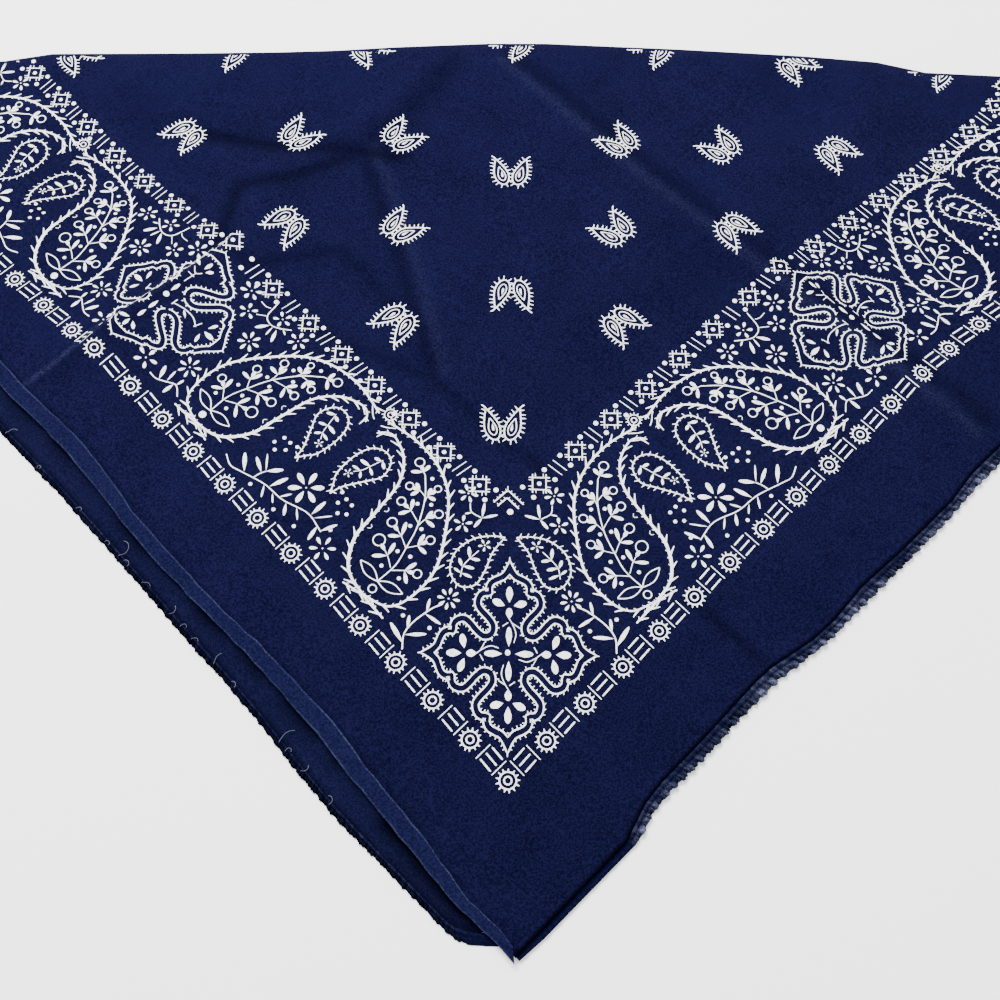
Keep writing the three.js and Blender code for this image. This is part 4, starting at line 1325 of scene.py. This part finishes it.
# Field motifs of the folded half that shows; the other half turns them round the middle
FIELD = [
    # place right of the diagonal, its fellow on the left, and the way that the right one's tips point
    (4.93 + 5.21j, None, 1 + 1j), (7.20 + 7.27j, None, -1 - 1j), (9.45 + 9.60j, None, 1 + 1j),
    (8.41 + 5.15j, 4.92 + 8.42j, -1j), (11.87 + 5.07j, 4.85 + 11.87j, -1j),
    (10.00 + 6.95j, 6.65 + 10.12j, 1j), (11.78 + 8.50j, 8.35 + 12.00j, 1j),
    (13.40 + 6.85j, 6.70 + 13.63j, 1j), (15.15 + 4.90j, 4.82 + 15.40j, -1j),
    (14.38 + 9.85j, 9.50 + 14.40j, -1), (16.50 + 7.20j, 7.05 + 16.60j, -1j),
    (18.72 + 4.85j, 4.42 + 18.85j, -1),
]

# Motifs this near the fold have no turned fellow, which would lie on another one
TURNED_REACH = 22.5

# How the cloth draws in toward the fold, on the left: reach, and how far the print is drawn back
DRAWN_IN = np.array([(12, 0), (13, 0.15), (15, 0.4), (17, 0.42), (18, 0.6), (19, 0.75),
                     (20.2, 0.85), (22.5, 0.7), (34, 0)])

# The tuck across the left side: v, and how far the print is shifted along it
LEFT_TUCK = np.array([(10, 0), (11, 0.04), (12, 0.24), (12.25, 0.26), (12.7, -0.04), (13, 0)])

# The right side beyond its old fold: u, shift along u for each repeat of v, and shift along v
RIGHT_DRAW = np.array([(12, 0, 0), (12.3, -0.03, 0), (13.2, -0.058, -0.02), (16.4, -0.114, -0.32),
                       (18.5, -0.105, -0.44), (26, 0, 0)])


def as_worn(w):
    """Places of the print in the cloth, which has drawn in beyond its two old folds."""
    left = np.clip((w.imag - 12.25) / 0.45, 0, 1)
    back = read(DRAWN_IN, reach(w)) * left
    tuck = np.where(w.real < MIDDLE, read(LEFT_TUCK, w.imag), 0)
    along = read(RIGHT_DRAW, w.real, 1) * (w.imag + 1.5)
    drop_v = read(RIGHT_DRAW, w.real, 2)
    right = np.where(w.imag < MIDDLE, along + 1j * drop_v, 0) * np.clip((MIDDLE - w.imag) / 4, 0, 1)
    return w - (0.5 + 0.5j) * back + 1j * tuck + right


def merged(drawing):
    """All patches of a drawing as one."""
    points = np.concatenate([patch[0] for patch in drawing])
    starts = np.cumsum([0] + [len(patch[0]) for patch in drawing[:-1]])
    triangles = np.concatenate([patch[1] + start for patch, start in zip(drawing, starts)])
    return points, triangles


def whole_print():
    """The eighths, corners, side middles and field motifs of the whole square."""
    centre = MIDDLE * (1 + 1j)
    part, fellow = [merged(eighth())], [merged(eighth(FELLOW_INNER_LINE))]
    on_diagonal = [merged(corner_piece() + side_piece())]
    border = []
    for k in range(4):
        def spun(pieces):
            return [(centre + 1j ** k * (points - centre), faces) for points, faces in pieces]
        border += spun(part) + spun([(1j * np.conj(points), faces) for points, faces in fellow])
        border += spun(on_diagonal)
    drawing = [(as_worn(points), faces) for points, faces in border]
    pair = [merged(field_pair())]
    turned = [(12.05 + 12.2j, -1)]
    for right, left, way in FIELD:
        places = [(right, way)] if left is None else [(right, way), (left, 1j * np.conj(way))]
        turned += places + [(2 * centre - place, -tips) for place, tips in places
                            if reach(place) < TURNED_REACH]
    for place, way in turned:
        drawing += placed(pair, place, turn=np.angle(way / 1j))
    return merged(drawing)


def surface_normals(w, step=0.08):
    rise_u = (relief(w + step) - relief(w - step)) / (2 * step * REPEAT)
    rise_v = (relief(w + step * 1j) - relief(w - step * 1j)) / (2 * step * REPEAT)
    slope = (rise_u + 1j * rise_v) * (1 + 1j) / math.sqrt(2)
    direction = np.stack([-slope.real, -slope.imag, np.ones(len(w))], -1)
    return direction / np.linalg.norm(direction, axis=1, keepdims=True)


def lay_print(name, w, triangles, under):
    """The print on the front layer's surface, or flat on the back layer's underside."""
    used = np.unique(triangles)
    renumber = np.full(len(w), -1)
    renumber[used] = np.arange(len(used))
    w, triangles = w[used], renumber[triangles]
    if under:
        points = at(w, BACK_UNDERSIDE - INK_PROUD)
        directions = np.tile([0.0, 0.0, -1.0], (len(w), 1))
    else:
        points = at(w, 0.02)
        down = Vector((0, 0, -1))
        for index, (x, y, z) in enumerate(points):
            hit = front_surface.ray_cast(Vector((x, y, z)), down)[0]
            points[index, 2] = (hit.z if hit else FRONT_TOP) + INK_PROUD
        directions = surface_normals(w)
    a, b, c = (points[triangles[:, k], :2] for k in range(3))
    area = (b - a)[:, 0] * (c - a)[:, 1] - (b - a)[:, 1] * (c - a)[:, 0]
    wrong = area > 0 if under else area < 0
    triangles[wrong] = triangles[wrong][:, ::-1]
    piece = new_object(name, points, triangles[abs(area) > 1e-12], INK)
    piece.data.normals_split_custom_set_from_vertices(directions.tolist())
    return piece


def print_both_layers():
    w, triangles = whole_print()
    middles = w[triangles].mean(1)
    in_front = reach(middles) < fold_reach(middles) - FOLD_INSET / DIAGONAL
    front_print = lay_print("front_print", w, triangles[in_front], under=False)
    turned = over_fold(w)
    turned_middles = turned[triangles].mean(1)
    edge = fold_reach(turned_middles) - (FOLD_LIP + 1 * MM) / DIAGONAL
    back_print = lay_print("back_print", turned, triangles[reach(turned_middles) < edge], under=True)
    return front_print, back_print


front_print, back_print = print_both_layers()


# Camera, light and surface

CAMERA_PLAN = (-9.54 - 77.05j) * MM
CAMERA_HEIGHT = 418.3 * MM
CAMERA_TURN = (23.66, -1.11, 0.88)


def camera():
    """The photo's own view, fitted to the evenly spaced border motifs."""
    data = bpy.data.cameras.new("camera")
    data.sensor_width = 36
    data.lens = 43.2
    data.clip_start = 0.01
    obj = in_scene("camera", data)
    obj.location = (CAMERA_PLAN.real + ORIGIN.real, CAMERA_PLAN.imag + ORIGIN.imag, CAMERA_HEIGHT)
    obj.rotation_euler = [math.radians(angle) for angle in CAMERA_TURN]
    bpy.context.scene.camera = obj


def area_light(name, place, aim, size, power, colour):
    data = bpy.data.lights.new(name, "AREA")
    data.shape = "RECTANGLE"
    data.size, data.size_y = size
    data.energy = power
    data.color = colour
    obj = in_scene(name, data)
    obj.location = place
    obj.rotation_euler = (Vector(aim) - Vector(place)).to_track_quat("-Z", "Y").to_euler()


def studio():
    world = bpy.data.worlds.new("studio")
    world.use_nodes = True
    plug(world.node_tree, world.node_tree.nodes["Background"], {0: (1, 1, 1, 1), 1: 1.35})
    bpy.context.scene.world = world
    area_light("window", (-0.5, 0.9, 1.3), (0, 0.05, 0), (1.0, 0.6), 95, (1.0, 1.0, 0.99))
    area_light("fill", (0.8, -0.7, 1.5), (0, 0, 0), (1.5, 1.5), 16, (0.98, 0.99, 1.0))
    material, tree, shader = new_material("pale_surface")
    cloudy = node(tree, "ShaderNodeTexNoise", {"Scale": 3.0, "Detail": 2.0}).outputs[0]
    plug(tree, shader, {"Roughness": 0.8, "Base Color": mix(
        tree, cloudy, (0.90, 0.90, 0.90, 1), (0.93, 0.93, 0.93, 1))})
    points = [(-4, -4, 0), (4, -4, 0), (4, 4, 0), (-4, 4, 0)]
    floor = new_object("floor", points, [[0, 1, 2, 3]], material, smooth=False)


camera()
studio()

for piece, nodes, slot in (
    (front, ("cloth_front",), "printed_face"),
    (back, ("cloth_back",), "plain_side"),
    (right_hem, ("hem_right_front",), "hem"),
    (left_hem, ("hem_left_back",), "hem"),
    (left_strip, ("strip_left_front",), "plain_side"),
    (right_strip, ("strip_right_back",), "plain_side"),
    (front_print, (), "print_ink"),
    (back_print, (), "print_ink"),
    (threads, (), "thread"),
):
    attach(piece, "root")
    if nodes:
        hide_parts(*nodes)
